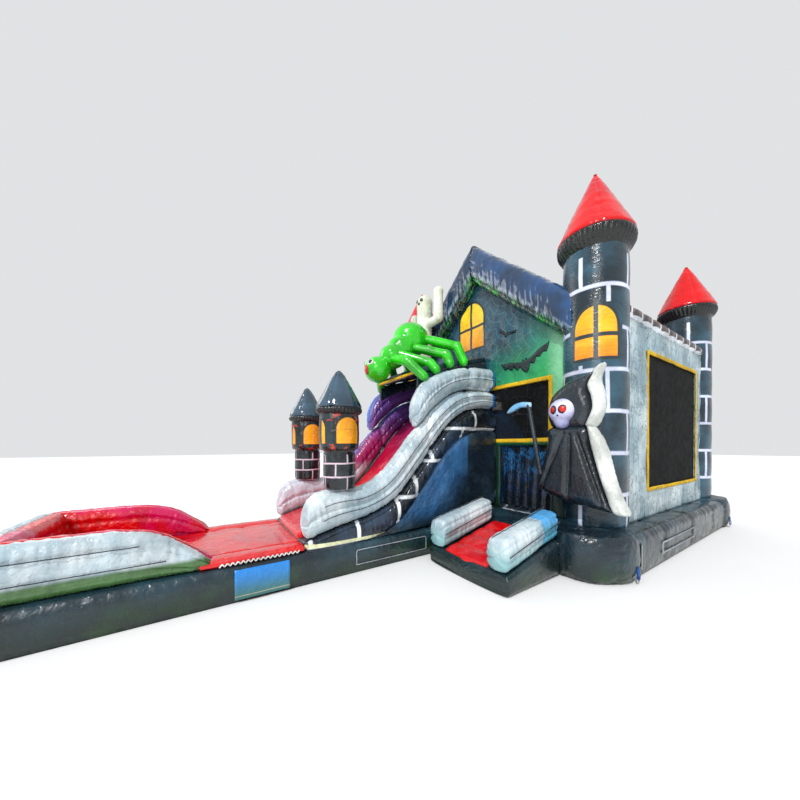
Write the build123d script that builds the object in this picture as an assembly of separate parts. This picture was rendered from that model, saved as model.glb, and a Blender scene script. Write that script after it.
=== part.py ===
from build123d import *
from math import atan2, cos
import os

# Inflatable bounce house with an outside slide and splash pool, in millimetres.
# The origin is on the ground at the centre of the house, midway between its four corner towers.
# +Z is up, -Y is the front, where the entrance ramp, the slide and the pool are, and +X is the
# right-hand side seen from the front. Each chamber is a closed skin around sealed air.

os.makedirs("parts", exist_ok=True)

# ---- general ----
SKIN = 25  # wall of an inflated chamber, with its seams and inner baffles lumped in
SLOPE_SKIN = 40  # the same wall measured straight up, under a slope
SEAM = 2  # gap left where two curved chambers are sewn side by side
TIP_AIR = SKIN * 5  # solid tip left at the point of a cone-shaped roof
CUT = 1  # how far a cutting tool runs past the face it cuts

# ---- house base ----
TOWER_SPAN_X = 3780  # between tower axes, across the front
TOWER_SPAN_Y = 3660  # between tower axes, front to rear
BASE_H = 500  # top of the straight base tubes
CORNER_RISE = 20  # round base corners above the straight tubes
CORNER_H = BASE_H + CORNER_RISE
CORNER_R = 520
BASE_SIDE = 600  # base edge beyond the tower axes at the sides and rear
BASE_FRONT = 870  # base edge beyond the tower axes at the front, which makes the porch
TUBE_INSET = 30  # straight tubes stand back from the corners' outer edge
SIDE_TUBE_W = 420
FRONT_TUBE_W = 740
FLOOR_H = 450
TUBE_ROUND = 60  # rounding of a base tube's long edges

# ---- towers ----
TOWER_R = 370
TOWER_TOP = 3950
COLLAR_R = 425
COLLAR_H = 150
COLLAR_ROUND = 60
ROOF_RIM_R = 441
ROOF_H = 930
ROOF_TIP_R = 12
ROOF_AIR_IN = 40  # air in a tower roof, in from its rim

# ---- walls ----
WALL_T = 60
WALL_OFFSET = 240  # wall plane beyond the tower axes
SIDE_WALL_TOP = 3150
TOP_BEAM_H = 150
TOP_BEAM_W = 140
NET_T = 12
NET_LOW = 880
SIDE_NET_TOP = 2810
SIDE_NET_W = 2200
SIDE_NET_Y = 210  # centre of the side nets, behind the middle of the house
REAR_NET_TOP = 1900
REAR_NET_W = 1900

# ---- front wall ----
FRONT_OFFSET = 130  # front wall's middle plane, in front of the front tower axes
WINDOW_LEFT = 244
WINDOW_RIGHT = 1377
WINDOW_LOW = 1580
WINDOW_TOP = 2465
DOOR_LEFT = 480
DOOR_RIGHT = 1390
DOOR_TOP = 1500
SLIDE_DOOR_TOP = 2990

# ---- gable ----
GABLE_APEX = 4360  # underside of the gable beams at the middle
GABLE_FOOT_Z = 2930  # underside at the foot
GABLE_FOOT_X = 1627
GABLE_DEPTH = 400
GABLE_THICK = 510  # square to the slope
GABLE_FRONT = 370  # front face of the gable, in front of the front tower axes
GABLE_LAP = 111  # beam runs past this far inside the outer edge of the tower
ROOF_SHEET_T = 25
ROOF_RIDGE = 4560

# ---- door flaps ----
FLAP_T = 8
FLAP_GAP = 6  # between the flaps, and beside them
FLAP_FLOOR_GAP = 30
FLAP_HEM_R = 12
FLAP_SETBACK = 30  # flaps hang this far behind the front wall's inner face

# ---- ramp ----
RAMP_LEFT = 662
RAMP_RIGHT = 1919
RAMP_LENGTH = 950
RAMP_FRONT_H = 210
RAMP_REAR_H = 460
RAMP_BOLSTER_W = 300
RAMP_BOLSTER_RISE = 350  # bolster above the tread, at the front
RAMP_BOLSTER_REAR_RISE = 300
RAMP_ROUND = 90

# ---- slide and pool ----
LANE_X = -375  # middle plane of the slide and pool
POOL_HALF_W = 870
SLIDE_HALF_W = 825
BOLSTER_W = 290
POOL_BASE_H = 340
POOL_END_Y = -7580
POOL_ROUND = 45
POOL_CORNER_R = 360
SLIDE_END_Y = -5150
SLIDE_TOP_H = 2100
BED_T = 60
LINER_T = 50
POOL_WALL_Y = -5980  # where the low entry lip ends and the pool's raised wall starts
POOL_WALL_H = 790
POOL_WALL_LOW = 420
POOL_WALL_RUN = 620  # length over which the pool's wall climbs to its full height
CLIMB_LOW = 0.25  # shares of that run at which the rim's curve is given
CLIMB_HIGH = 0.6
LIP_H = 70
UPPER_TUBE_Y = -3640
UPPER_TUBE_TOP = 2780
UPPER_TUBE_FOOT_Z = 1702  # where the upper tube's end meets the lower tube
RAIL_NOSE_H = 760
POOL_SETBACK = 40  # wall bolsters stand in from the end of the pool's base
CANOPY_LAP = 45  # canopy beyond the inner faces of the slide bolsters
CANOPY_T = 120
CANOPY_FRONT_Y = -3480
CANOPY_FRONT_Z = 2530
CANOPY_REAR_Z = 2930
WEB_FRONT_Z = 2202  # foot of the webs at the canopy's front, inside the shoulders

# ---- exit turrets ----
TURRET_Y = -4690
TURRET_R = 190
TURRET_FOOT_Z = 985
TURRET_SHAFT_H = 455
TURRET_HEAD_R = 232
TURRET_HEAD_H = 470
TURRET_RIM_R = 270
TURRET_ROOF_H = 520
TURRET_TIP_R = 8

# ---- climb and hoop, inside ----
CLIMB_DEPTH = 560  # flat landing behind the front wall
CLIMB_RUN = 1250
HOLD_ROWS = 4
HOLD_R = 60
HOLD_END = 120
HOOP_R = 200
HOOP_TUBE_R = 22
HOOP_Z = 2250
HOOP_BOARD_W = 620
HOOP_BOARD_H = 470
HOOP_BOARD_T = 60
HOOP_X = 300
HOOP_DROP_SHARE = 0.35  # share of the board below the ring
HOOP_ARM = 40

# ---- figures ----
SPIDER_Y = -3480
SPIDER_Z = 2930
SPIDER_HEAD_R = 205
SPIDER_THORAX_R = 200
SPIDER_ABDOMEN_R = 285
LEG_R = 68
ROBE_T = 230
HOOD_X = 1880
HOOD_PROUD = 40
FACE_R = 170
FACE_Z = 1880
FACE_SHIFT = 90
SCYTHE_R = 26
SCYTHE_TOP_X = 500
SCYTHE_TOP_Z = 2030
SCYTHE_FOOT_X = 330
SCYTHE_FOOT_Z = 1150
BLADE_T = 40
GHOST_ARM_R = 75
GHOST_X = -1080
GHOST_R = 165
GHOST_LOW_Z = 3050
GHOST_TOP_Z = 4500

# ---- blower and air tubes ----
BLOWER_X = -1250
BLOWER_Y = 3150
BLOWER_Z = 255
BLOWER_R = 215
BLOWER_W = 280
BLOWER_WALL = 6
NOZZLE_R = 100
NOZZLE_DROP = 85  # nozzle axis below the impeller axis
NOZZLE_RUN = 330  # nozzle mouth in front of the impeller axis
IMPELLER_R = 150
IMPELLER_W = 130
BLADES = 18
INTAKE_R = 95
SHAFT_R = 8
SHAFT_CLEAR = 0.6
MOTOR_R = 70
MOTOR_W = 90
TUBE_WALL = 5
TUBE_CLEAR = 1
SLEEVE_OVER = 110  # length of air tube pulled over the nozzle
STRAP_W = 30
STRAP_T = 3
STRAP_GAP = 0.3
FOOT_SPREAD = 130
FOOT_W = 50
HANDLE_SPREAD = 80
HANDLE_UP = 45
HANDLE_R = 14
MOTOR_END = 20  # closed end of the motor behind its bore
IMPELLER_GAP = 6
PLATE_T = 4
FAN_T = 3
BLADE_D = 34
GRILLE_T = 8
GRILLE_BAR = 5
GRILLE_BARS = 4
GLAND_OUT = 120  # gland and switch, in front of the impeller axis
GLAND_DROP = 60
GLAND_BORE_R = 4
SWITCH_T = 8
SWITCH_OUT = 8  # pivot outside the housing wall
BEZEL_W = 8
BEZEL_GAP = 1.5
PIN_R = 1.5
PIN_CLEAR = 0.1
PIN_L = 3
SWITCH_W = 22
SWITCH_H = 30
SPARE_X = 1250
SPARE_R = 100
SPARE_RUN = 380
GLAND_R = 12
GLAND_L = 22

# ---- anchors and zip ----
ANCHOR_Z = 130
ANCHOR_TAB_W = 46
ANCHOR_TAB_T = 9
ANCHOR_TAB_H = 130
RING_HALF_W = 34
RING_R = 5
RING_CLEAR = 0.6
SLEEVE_R = 11
ZIP_W = 900
ZIP_H = 34
ZIP_T = 6
ZIP_Z = 250
SLIDER_L = 34
SLIDER_GAP = 0.5

# ---- places that follow from the sizes above ----
TOWER_X = TOWER_SPAN_X / 2
TOWER_Y = TOWER_SPAN_Y / 2
BASE_X = TOWER_X + BASE_SIDE
BASE_REAR_Y = TOWER_Y + BASE_SIDE
BASE_FRONT_Y = -TOWER_Y - BASE_FRONT
CORNER_X = BASE_X - CORNER_R
CORNER_REAR_Y = BASE_REAR_Y - CORNER_R
CORNER_FRONT_Y = BASE_FRONT_Y + CORNER_R
TUBE_OUT_X = BASE_X - TUBE_INSET
TUBE_IN_X = TUBE_OUT_X - SIDE_TUBE_W
TUBE_REAR_Y = BASE_REAR_Y - TUBE_INSET
TUBE_REAR_IN_Y = TUBE_REAR_Y - SIDE_TUBE_W
TUBE_FRONT_Y = BASE_FRONT_Y + TUBE_INSET
TUBE_FRONT_IN_Y = TUBE_FRONT_Y + FRONT_TUBE_W
SIDE_WALL_X = TOWER_X + WALL_OFFSET
REAR_WALL_Y = TOWER_Y + WALL_OFFSET
FRONT_WALL_Y = -TOWER_Y - FRONT_OFFSET
FRONT_FACE_Y = FRONT_WALL_Y - WALL_T / 2
GABLE_FRONT_Y = -TOWER_Y - GABLE_FRONT
GABLE_SLOPE = atan2(GABLE_APEX - GABLE_FOOT_Z, GABLE_FOOT_X)
ROOF_BASE_Z = TOWER_TOP + COLLAR_H
WALL_EAVE_Z = SIDE_WALL_TOP + TOP_BEAM_H
BOLSTER_IN = SLIDE_HALF_W - BOLSTER_W
NOZZLE_Z = BLOWER_Z - NOZZLE_DROP
NOZZLE_Y = BLOWER_Y - NOZZLE_RUN
TOWER_PLACES = {
    "front_right": (TOWER_X, -TOWER_Y),
    "front_left": (-TOWER_X, -TOWER_Y),
    "rear_right": (TOWER_X, TOWER_Y),
    "rear_left": (-TOWER_X, TOWER_Y),
}
CORNER_PLACES = [(x, y) for x in (CORNER_X, -CORNER_X) for y in (CORNER_FRONT_Y, CORNER_REAR_Y)]

# Spider's head, thorax, waist and abdomen, each (back, up) from its middle.
SPIDER_LINE = [(-330, -250), (-60, -10), (120, 150), (300, 330)]
# Spider legs as hip, knee and foot, each (out from the middle, back, up) from the thorax.
LEG_LINES = [
    ((100, -130, -70), (420, -60, -170), (640, 90, -420)),
    ((120, -60, 20), (535, 290, -180), (645, 310, -290)),
    ((120, 160, 170), (535, 610, 10), (645, 590, -160)),
    ((120, 330, 350), (535, 840, 180), (645, 880, -90)),
]
# Flat outlines as (X, Z) points; X of the robe and hood is from the hood's middle.
ROBE_OUTLINE = [
    (-484, 950), (-60, 790), (600, 750), (450, 1150), (370, 1500), (250, 1720), (-280, 1720),
    (-330, 1500), (-400, 1250),
]
HOOD_OUTLINE = [
    (-250, 1722), (240, 1722), (330, 1950), (300, 2150), (350, 2430), (200, 2340), (-60, 2270),
    (-260, 2120), (-300, 1900),
]
BLADE_OUTLINE = [(30, 30), (30, -30), (-120, -20), (-270, -80), (-350, -70), (-250, 20), (-110, 50)]
GHOST_ARMS = [(430, 3900, 4430), (-330, 3800, 4150)]  # (out, elbow height, hand height)

# Side outlines of the slide, as (Y, Z) points of smooth curves, from the wall to the pool.
TUBE_TOP_LINE = [
    (FRONT_FACE_Y, 2380), (-2400, 2385), (-2850, 2320), (-3250, 2080), (-3680, 1650),
    (-4100, 1190), (-4430, 1010), (-4850, 1000), (-5060, 910),
]
TUBE_LOW_LINE = [
    (FRONT_FACE_Y, SLIDE_TOP_H), (-2410, 2090), (-2800, 1960), (-3140, 1700), (-3500, 1270),
    (-3910, 830), (-4300, 640), (-4730, 540), (SLIDE_END_Y, 420),
]
UPPER_TUBE_LINE = [
    (FRONT_FACE_Y, UPPER_TUBE_TOP), (-2600, 2740), (-3100, 2600), (-3450, 2400), (UPPER_TUBE_Y, 2100),
]

made = {}


def save(name, shape):
    """Keep a node for its STEP file."""
    made[name] = shape


def box(x0, x1, y0, y1, z0, z1):
    """A box between two corners."""
    return Pos((x0 + x1) / 2, (y0 + y1) / 2, (z0 + z1) / 2) * Box(abs(x1 - x0), abs(y1 - y0), abs(z1 - z0))


def post(x, y, z0, z1, radius):
    """A round upright from z0 to z1."""
    return Pos(x, y, (z0 + z1) / 2) * Cylinder(radius, z1 - z0)


def rod(start, end, radius):
    """A round bar between two points."""
    run = Vector(*end) - Vector(*start)
    place = Plane(origin=Vector(*start) + run * 0.5, z_dir=run)
    return place * Cylinder(radius, run.length)


def ball(place, radius):
    """A sphere about a point."""
    return Pos(*place) * Sphere(radius)


def rounded_box(x0, x1, y0, y1, z0, z1, radius, along):
    """A box whose edges along one axis are rounded."""
    solid = box(x0, x1, y0, y1, z0, z1)
    return fillet(solid.edges().filter_by(along), radius)


def tube_box(x0, x1, y0, y1, z0, z1, radius, along):
    """An inflated straight tube: a rounded box around sealed air."""
    inner = rounded_box(
        x0 + SKIN, x1 - SKIN, y0 + SKIN, y1 - SKIN, z0 + SKIN, z1 - SKIN, radius - SKIN, along
    )
    return rounded_box(x0, x1, y0, y1, z0, z1, radius, along), inner


def outline(points):
    """A closed face in the Y-Z plane, from straight runs between points."""
    return make_face(Plane.YZ * Polyline(*points, close=True))


def side_solid(face, x0, x1):
    """A Y-Z face carried from x0 to x1."""
    return Pos(x0, 0, 0) * extrude(face, x1 - x0, dir=(1, 0, 0))


def fuse(*shapes):
    """One solid from shapes that touch or overlap."""
    whole = shapes[0]
    for shape in shapes[1:]:
        whole = whole + shape
    return whole


def group(*shapes):
    """Separate solids kept in one node."""
    return Compound(children=[solid for shape in shapes for solid in shape.solids()])


def corner_posts(grow, z0=-CUT, z1=CORNER_H + CUT):
    """The four base corners as cylinders, grown by a margin."""
    return fuse(*[post(x, y, z0, z1, CORNER_R + grow) for x, y in CORNER_PLACES])


def tower_posts(grow, z0=0, z1=TOWER_TOP + COLLAR_H):
    """The four towers as cylinders, grown by a margin."""
    return fuse(*[post(x, y, z0, z1, TOWER_R + grow) for x, y in TOWER_PLACES.values()])


def make_base():
    """The bounce floor, and the ring of tubes and round corners about it."""
    floor = box(-TUBE_IN_X, TUBE_IN_X, TUBE_FRONT_IN_Y, TUBE_REAR_IN_Y, 0, FLOOR_H)
    air_x, air_z = TUBE_IN_X - SKIN, FLOOR_H - SKIN
    air = box(-air_x, air_x, TUBE_FRONT_IN_Y + SKIN, TUBE_REAR_IN_Y - SKIN, SKIN, air_z)
    save("bounce_floor", (floor - corner_posts(SEAM)) - (air - corner_posts(SEAM + SKIN)))
    runs = []
    for side in (-1, 1):
        x0, x1 = sorted((side * TUBE_IN_X, side * TUBE_OUT_X))
        runs.append(tube_box(x0, x1, CORNER_FRONT_Y, CORNER_REAR_Y, 0, BASE_H, TUBE_ROUND, Axis.Y))
    runs.append(
        tube_box(-CORNER_X, CORNER_X, TUBE_FRONT_Y, TUBE_FRONT_IN_Y, 0, BASE_H, TUBE_ROUND, Axis.X)
    )
    runs.append(tube_box(-CORNER_X, CORNER_X, TUBE_REAR_IN_Y, TUBE_REAR_Y, 0, BASE_H, TUBE_ROUND, Axis.X))
    tubes = []
    for outer, inner in runs:
        tubes.append((outer - corner_posts(SEAM)) - (inner - corner_posts(SEAM + SKIN)))
    for x, y in CORNER_PLACES:
        drum = post(x, y, 0, CORNER_H, CORNER_R)
        drum = fillet(drum.edges().filter_by(GeomType.CIRCLE), TUBE_ROUND / 2)
        air = post(x, y, SKIN, CORNER_H - SKIN, CORNER_R - SKIN - TUBE_ROUND / 4)
        tubes.append(drum - air)
    save("base_tubes", group(*tubes))


def make_towers():
    """Four round towers, each with a gathered collar and a pointed roof."""
    collars = []
    roofs = []
    for name, (x, y) in TOWER_PLACES.items():
        shaft = post(x, y, CORNER_H, TOWER_TOP, TOWER_R)
        air = post(x, y, CORNER_H + SKIN, TOWER_TOP - SKIN, TOWER_R - SKIN)
        save(f"tower_{name}", shaft - air)
        collar = post(x, y, TOWER_TOP, ROOF_BASE_Z, COLLAR_R)
        collar = fillet(collar.edges().filter_by(GeomType.CIRCLE), COLLAR_ROUND)
        collars.append(collar - post(x, y, TOWER_TOP + SKIN, ROOF_BASE_Z - SKIN, COLLAR_R - COLLAR_ROUND))
        roof = Pos(x, y, ROOF_BASE_Z + ROOF_H / 2) * Cone(ROOF_RIM_R, ROOF_TIP_R, ROOF_H)
        air_h = ROOF_H - TIP_AIR
        air = Pos(x, y, ROOF_BASE_Z + SKIN + air_h / 2) * Cone(ROOF_RIM_R - ROOF_AIR_IN, ROOF_TIP_R, air_h)
        roofs.append(roof - air)
    save("tower_collars", group(*collars))
    save("tower_roofs", group(*roofs))


def make_side_walls():
    """The two side walls, the rear wall, their nets and the beams along their tops."""
    nets = []
    beams = []
    clear = tower_posts(SEAM)
    for name, side in (("right_wall", 1), ("left_wall", -1)):
        x0 = side * SIDE_WALL_X - WALL_T / 2
        wall = box(x0, x0 + WALL_T, -TOWER_Y, TOWER_Y, BASE_H, SIDE_WALL_TOP)
        y0, y1 = SIDE_NET_Y - SIDE_NET_W / 2, SIDE_NET_Y + SIDE_NET_W / 2
        wall = wall - box(x0 - CUT, x0 + WALL_T + CUT, y0, y1, NET_LOW, SIDE_NET_TOP) - clear
        save(name, wall - corner_posts(SEAM))
        middle = side * SIDE_WALL_X
        nets.append(box(middle - NET_T / 2, middle + NET_T / 2, y0, y1, NET_LOW, SIDE_NET_TOP))
        beams.append(beam_box(middle, "side") - clear)
    y0 = REAR_WALL_Y - WALL_T / 2
    wall = box(-TOWER_X, TOWER_X, y0, y0 + WALL_T, BASE_H, SIDE_WALL_TOP)
    half = REAR_NET_W / 2
    wall = wall - box(-half, half, y0 - CUT, y0 + WALL_T + CUT, NET_LOW, REAR_NET_TOP)
    save("rear_wall", wall - clear - corner_posts(SEAM))
    y0, y1 = REAR_WALL_Y - NET_T / 2, REAR_WALL_Y + NET_T / 2
    nets.append(box(-half, half, y0, y1, NET_LOW, REAR_NET_TOP))
    beams.append(beam_box(REAR_WALL_Y, "rear") - clear)
    middle = FRONT_WALL_Y
    nets.append(
        box(WINDOW_LEFT, WINDOW_RIGHT, middle - NET_T / 2, middle + NET_T / 2, WINDOW_LOW, WINDOW_TOP)
    )
    save("window_nets", group(*nets))
    save("wall_top_beams", group(*beams))


def beam_box(middle, place):
    """A beam along the top of a wall."""
    low, high = SIDE_WALL_TOP, WALL_EAVE_Z
    if place == "side":
        return box(middle - TOP_BEAM_W / 2, middle + TOP_BEAM_W / 2, -TOWER_Y, TOWER_Y, low, high)
    return box(-TOWER_X, TOWER_X, middle - TOP_BEAM_W / 2, middle + TOP_BEAM_W / 2, low, high)


def make_front_wall():
    """The front wall, with the doorway, the net window and the way out to the slide."""
    rise = (GABLE_APEX - GABLE_FOOT_Z) / GABLE_FOOT_X
    edge_z = GABLE_APEX - TOWER_X * rise
    foot = [(-TOWER_X, BASE_H), (TOWER_X, BASE_H)]
    top = [(TOWER_X, edge_z), (0, GABLE_APEX), (-TOWER_X, edge_z)]
    face = Plane.XZ * make_face(Polyline(*foot, *top, close=True))
    wall = Pos(0, FRONT_FACE_Y, 0) * extrude(face, WALL_T, dir=(0, 1, 0))
    cut0, cut1 = FRONT_FACE_Y - CUT, FRONT_FACE_Y + WALL_T + CUT
    wall = wall - box(WINDOW_LEFT, WINDOW_RIGHT, cut0, cut1, WINDOW_LOW, WINDOW_TOP)
    wall = wall - box(DOOR_LEFT, DOOR_RIGHT, cut0, cut1, BASE_H - CUT, DOOR_TOP)
    wall = wall - box(
        LANE_X - BOLSTER_IN, LANE_X + BOLSTER_IN, cut0, cut1, SLIDE_TOP_H + BED_T, SLIDE_DOOR_TOP
    )
    save("front_wall", wall - tower_posts(SEAM) - corner_posts(SEAM))


def slope_beam(side, y0, y1, low_apex, thick, foot_x):
    """A straight beam from the ridge down to one eave, mitred at the middle plane."""
    rise = (GABLE_APEX - GABLE_FOOT_Z) / GABLE_FOOT_X
    drop = foot_x * rise
    up = thick / cos(GABLE_SLOPE)
    foot = [(side * foot_x, low_apex - drop), (side * foot_x, low_apex - drop + up)]
    points = [(0, low_apex), *foot, (0, low_apex + up)]
    face = Plane.XZ * make_face(Polyline(*points, close=True))
    return Pos(0, y0, 0) * extrude(face, y1 - y0, dir=(0, 1, 0))


def make_gable():
    """The padded gable over the front, the roof sheets and the thin beams at the rear."""
    y0 = GABLE_FRONT_Y
    y1 = y0 + GABLE_DEPTH
    foot = TOWER_X - GABLE_LAP
    for name, side in (("gable_beam_right", 1), ("gable_beam_left", -1)):
        outer = slope_beam(side, y0, y1, GABLE_APEX, GABLE_THICK, foot)
        inner_apex = GABLE_APEX + SKIN / cos(GABLE_SLOPE)
        inner = slope_beam(side, y0 + SKIN, y1 - SKIN, inner_apex, GABLE_THICK - 2 * SKIN, foot)
        keep = box(side * SKIN, side * TOWER_X * 2, y0, y1, 0, GABLE_APEX * 2)
        save(name, (outer - tower_posts(SEAM)) - (inner & keep - tower_posts(SEAM + SKIN)))
    make_roof()


def roof_line(x, thick):
    """Height of the roof sheet's underside, or of its top with the thickness added, at x."""
    eave_x = SIDE_WALL_X
    return WALL_EAVE_Z + (ROOF_RIDGE - WALL_EAVE_Z) * (1 - abs(x) / eave_x) + thick


def make_roof():
    """Two sloping roof sheets between the gable and the rear, and the rear gable's fill."""
    y0 = GABLE_FRONT_Y + GABLE_DEPTH
    y1 = REAR_WALL_Y
    sheets = []
    eave_x = SIDE_WALL_X
    for side in (1, -1):
        points = [
            (side * SEAM, roof_line(0, 0)), (side * eave_x, roof_line(eave_x, 0)),
            (side * eave_x, roof_line(eave_x, ROOF_SHEET_T)), (side * SEAM, roof_line(0, ROOF_SHEET_T)),
        ]
        face = Plane.XZ * make_face(Polyline(*points, close=True))
        sheet = Pos(0, y0, 0) * extrude(face, y1 - y0, dir=(0, 1, 0))
        sheets.append(sheet - tower_posts(SEAM))
    save("roof_panels", group(*sheets))
    points = [(-eave_x, WALL_EAVE_Z), (eave_x, WALL_EAVE_Z), (0, ROOF_RIDGE)]
    face = Plane.XZ * make_face(Polyline(*points, close=True))
    depth = TOP_BEAM_W / 2
    fill = Pos(0, REAR_WALL_Y + SEAM - depth, 0) * extrude(face, depth, dir=(0, 1, 0))
    save("rear_gable", fill - tower_posts(SEAM) - fuse(*sheets))


def make_door_flaps():
    """Two curtain flaps that hang from a hem rod over the doorway."""
    middle = (DOOR_LEFT + DOOR_RIGHT) / 2
    spans = {
        "door_flap_left": (DOOR_LEFT + FLAP_GAP, middle - FLAP_GAP / 2),
        "door_flap_right": (middle + FLAP_GAP / 2, DOOR_RIGHT - FLAP_GAP),
    }
    hem_z = DOOR_TOP - FLAP_HEM_R - FLAP_GAP
    y = FRONT_FACE_Y + WALL_T + FLAP_SETBACK
    for name, (x0, x1) in spans.items():
        sheet = box(x0, x1, y - FLAP_T / 2, y + FLAP_T / 2, BASE_H + FLAP_FLOOR_GAP, hem_z)
        hem = rod((x0, y, hem_z), (x1, y, hem_z), FLAP_HEM_R)
        save(name, sheet + hem)


def make_ramp():
    """The entrance ramp: a sloping cushion with a bolster along each side."""
    y1 = BASE_FRONT_Y + TUBE_INSET - SEAM
    y0 = y1 - RAMP_LENGTH
    base = outline([(y0, 0), (y1, 0), (y1, RAMP_REAR_H), (y0, RAMP_FRONT_H)])
    air = outline(
        [
            (y0 + SKIN, SKIN), (y1 - SKIN, SKIN), (y1 - SKIN, RAMP_REAR_H - SLOPE_SKIN),
            (y0 + SKIN, RAMP_FRONT_H - SKIN),
        ]
    )
    body = side_solid(base, RAMP_LEFT, RAMP_RIGHT)
    air = side_solid(air, RAMP_LEFT + SKIN, RAMP_RIGHT - SKIN)
    save("ramp_base", (body - corner_posts(SEAM)) - (air - corner_posts(SEAM + SKIN)))
    bolsters = []
    for x0 in (RAMP_LEFT, RAMP_RIGHT - RAMP_BOLSTER_W):
        top = outline(
            [
                (y0, RAMP_FRONT_H), (y1, RAMP_REAR_H), (y1, RAMP_REAR_H + RAMP_BOLSTER_REAR_RISE),
                (y0, RAMP_FRONT_H + RAMP_BOLSTER_RISE),
            ]
        )
        solid = side_solid(top, x0, x0 + RAMP_BOLSTER_W)
        upper = solid.edges().filter_by_position(Axis.Z, RAMP_FRONT_H + RAMP_ROUND, BASE_H * 2)
        solid = fillet(upper, RAMP_ROUND)
        air = outline(
            [
                (y0 + SKIN, RAMP_FRONT_H + SKIN * 2), (y1 - SKIN, RAMP_REAR_H + SKIN * 2),
                (y1 - SKIN, RAMP_REAR_H + RAMP_BOLSTER_REAR_RISE - SKIN * 3),
                (y0 + SKIN * 2, RAMP_FRONT_H + RAMP_BOLSTER_RISE - SKIN * 3),
            ]
        )
        air = side_solid(air, x0 + SKIN * 2, x0 + RAMP_BOLSTER_W - SKIN * 2)
        bolsters.append((solid - corner_posts(SEAM)) - (air - corner_posts(SEAM + SKIN)))
    save("ramp_bolsters", group(*bolsters))


def curve_face(upper, lower):
    """A face between two smooth curves that run the same way, closed by straight ends."""
    ends = [Line(upper[0], lower[0]), Line(upper[-1], lower[-1])]
    return make_face(Plane.YZ * Curve(children=[Spline(*upper), Spline(*lower), *ends]))


def drawn_in(line, up):
    """A side outline moved up or down, and drawn in from both of its ends."""
    inner = [(y, z + up) for y, z in line]
    inner[0] = (inner[0][0] - SKIN, inner[0][1])
    inner[-1] = (inner[-1][0] + SKIN, inner[-1][1])
    return inner


def curved_chamber(upper, lower, x0, x1):
    """An inflated chamber between two curves, and the same chamber without its air."""
    solid = side_solid(curve_face(upper, lower), x0, x1)
    air = curve_face(drawn_in(upper, -SLOPE_SKIN), drawn_in(lower, SLOPE_SKIN))
    return solid - side_solid(air, x0 + SKIN, x1 - SKIN), solid


def make_slide():
    """The slide: body, bed, side tubes with the raised shoulders, and the canopy."""
    left, right = LANE_X - SLIDE_HALF_W, LANE_X + SLIDE_HALF_W
    body = side_solid(slide_body_face(TUBE_LOW_LINE, 0), left, right)
    inner = slide_body_face(drawn_in(TUBE_LOW_LINE, -SLOPE_SKIN), SKIN)
    save("slide_body", body - side_solid(inner, left + SKIN, right - SKIN))
    raised = [(y, z + BED_T) for y, z in TUBE_LOW_LINE]
    bed = curve_face(raised, TUBE_LOW_LINE)
    save("slide_bed", side_solid(bed, left + BOLSTER_W + SEAM, right - BOLSTER_W - SEAM))
    rail = [*TUBE_TOP_LINE, (SLIDE_END_Y, RAIL_NOSE_H)]
    shoulder_low = [(y, z + SEAM) for y, z in TUBE_TOP_LINE if y > UPPER_TUBE_Y]
    shoulder_low.append((UPPER_TUBE_Y, UPPER_TUBE_FOOT_Z))
    shoulders = []
    for name, side in (("slide_bolster_right", 1), ("slide_bolster_left", -1)):
        x0, x1 = sorted((LANE_X + side * BOLSTER_IN, LANE_X + side * SLIDE_HALF_W))
        foot = post(turret_x(side), TURRET_Y, TURRET_FOOT_Z, BASE_H * 4, TURRET_R + SEAM)
        lower, rail_solid = curved_chamber(rail, TUBE_LOW_LINE, x0, x1)
        upper, shoulder_solid = curved_chamber(UPPER_TUBE_LINE, shoulder_low, x0, x1)
        save(name, group(lower - foot, upper - Pos(0, 0, SEAM) * rail_solid))
        shoulders.append(Pos(0, 0, SEAM) * shoulder_solid)
    return [*shoulders, make_canopy(shoulders)]


def slide_body_face(line, margin):
    """The side outline of the slide's body under a curve, drawn in from its other sides."""
    step = BASE_FRONT_Y + TUBE_INSET - SEAM - margin
    foot, wall = line[-1][0], line[0][0]
    rim = Polyline(
        line[-1], (foot, POOL_BASE_H + margin), (step, POOL_BASE_H + margin),
        (step, BASE_H + margin), (wall, BASE_H + margin), line[0],
    )
    return make_face(Plane.YZ * Curve(children=[Spline(*line), rim]))


def turret_x(side):
    """Middle of an exit turret, over the middle of its slide bolster."""
    return LANE_X + side * (BOLSTER_IN + SLIDE_HALF_W) / 2


def make_canopy(shoulders):
    """The padded canopy over the top of the slide, with a web down to each shoulder."""
    front, rear = (CANOPY_FRONT_Y, CANOPY_FRONT_Z), (FRONT_FACE_Y, CANOPY_REAR_Z)
    slab = outline([rear, front, (front[0], front[1] + CANOPY_T), (rear[0], rear[1] + CANOPY_T)])
    air_front, air_rear = front[0] + SKIN, rear[0] - SKIN
    air = outline(
        [
            (air_rear, rear[1] + SKIN), (air_front, front[1] + SKIN * 2),
            (air_front, front[1] + CANOPY_T - SKIN), (air_rear, rear[1] + CANOPY_T - SKIN * 2),
        ]
    )
    web_front, web_rear = (front[0], WEB_FRONT_Z), (rear[0], UPPER_TUBE_TOP - CANOPY_T)
    web = outline([rear, front, web_front, web_rear])
    half = BOLSTER_IN + CANOPY_LAP
    webs = side_solid(web, LANE_X - half, LANE_X - BOLSTER_IN - SEAM)
    webs = webs + side_solid(web, LANE_X + BOLSTER_IN + SEAM, LANE_X + half)
    whole = side_solid(slab, LANE_X - half, LANE_X + half)
    for shoulder in shoulders:
        webs = webs - shoulder
    whole = whole + webs
    save("slide_canopy", whole - side_solid(air, LANE_X - half + SKIN, LANE_X + half - SKIN))
    return whole


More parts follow.
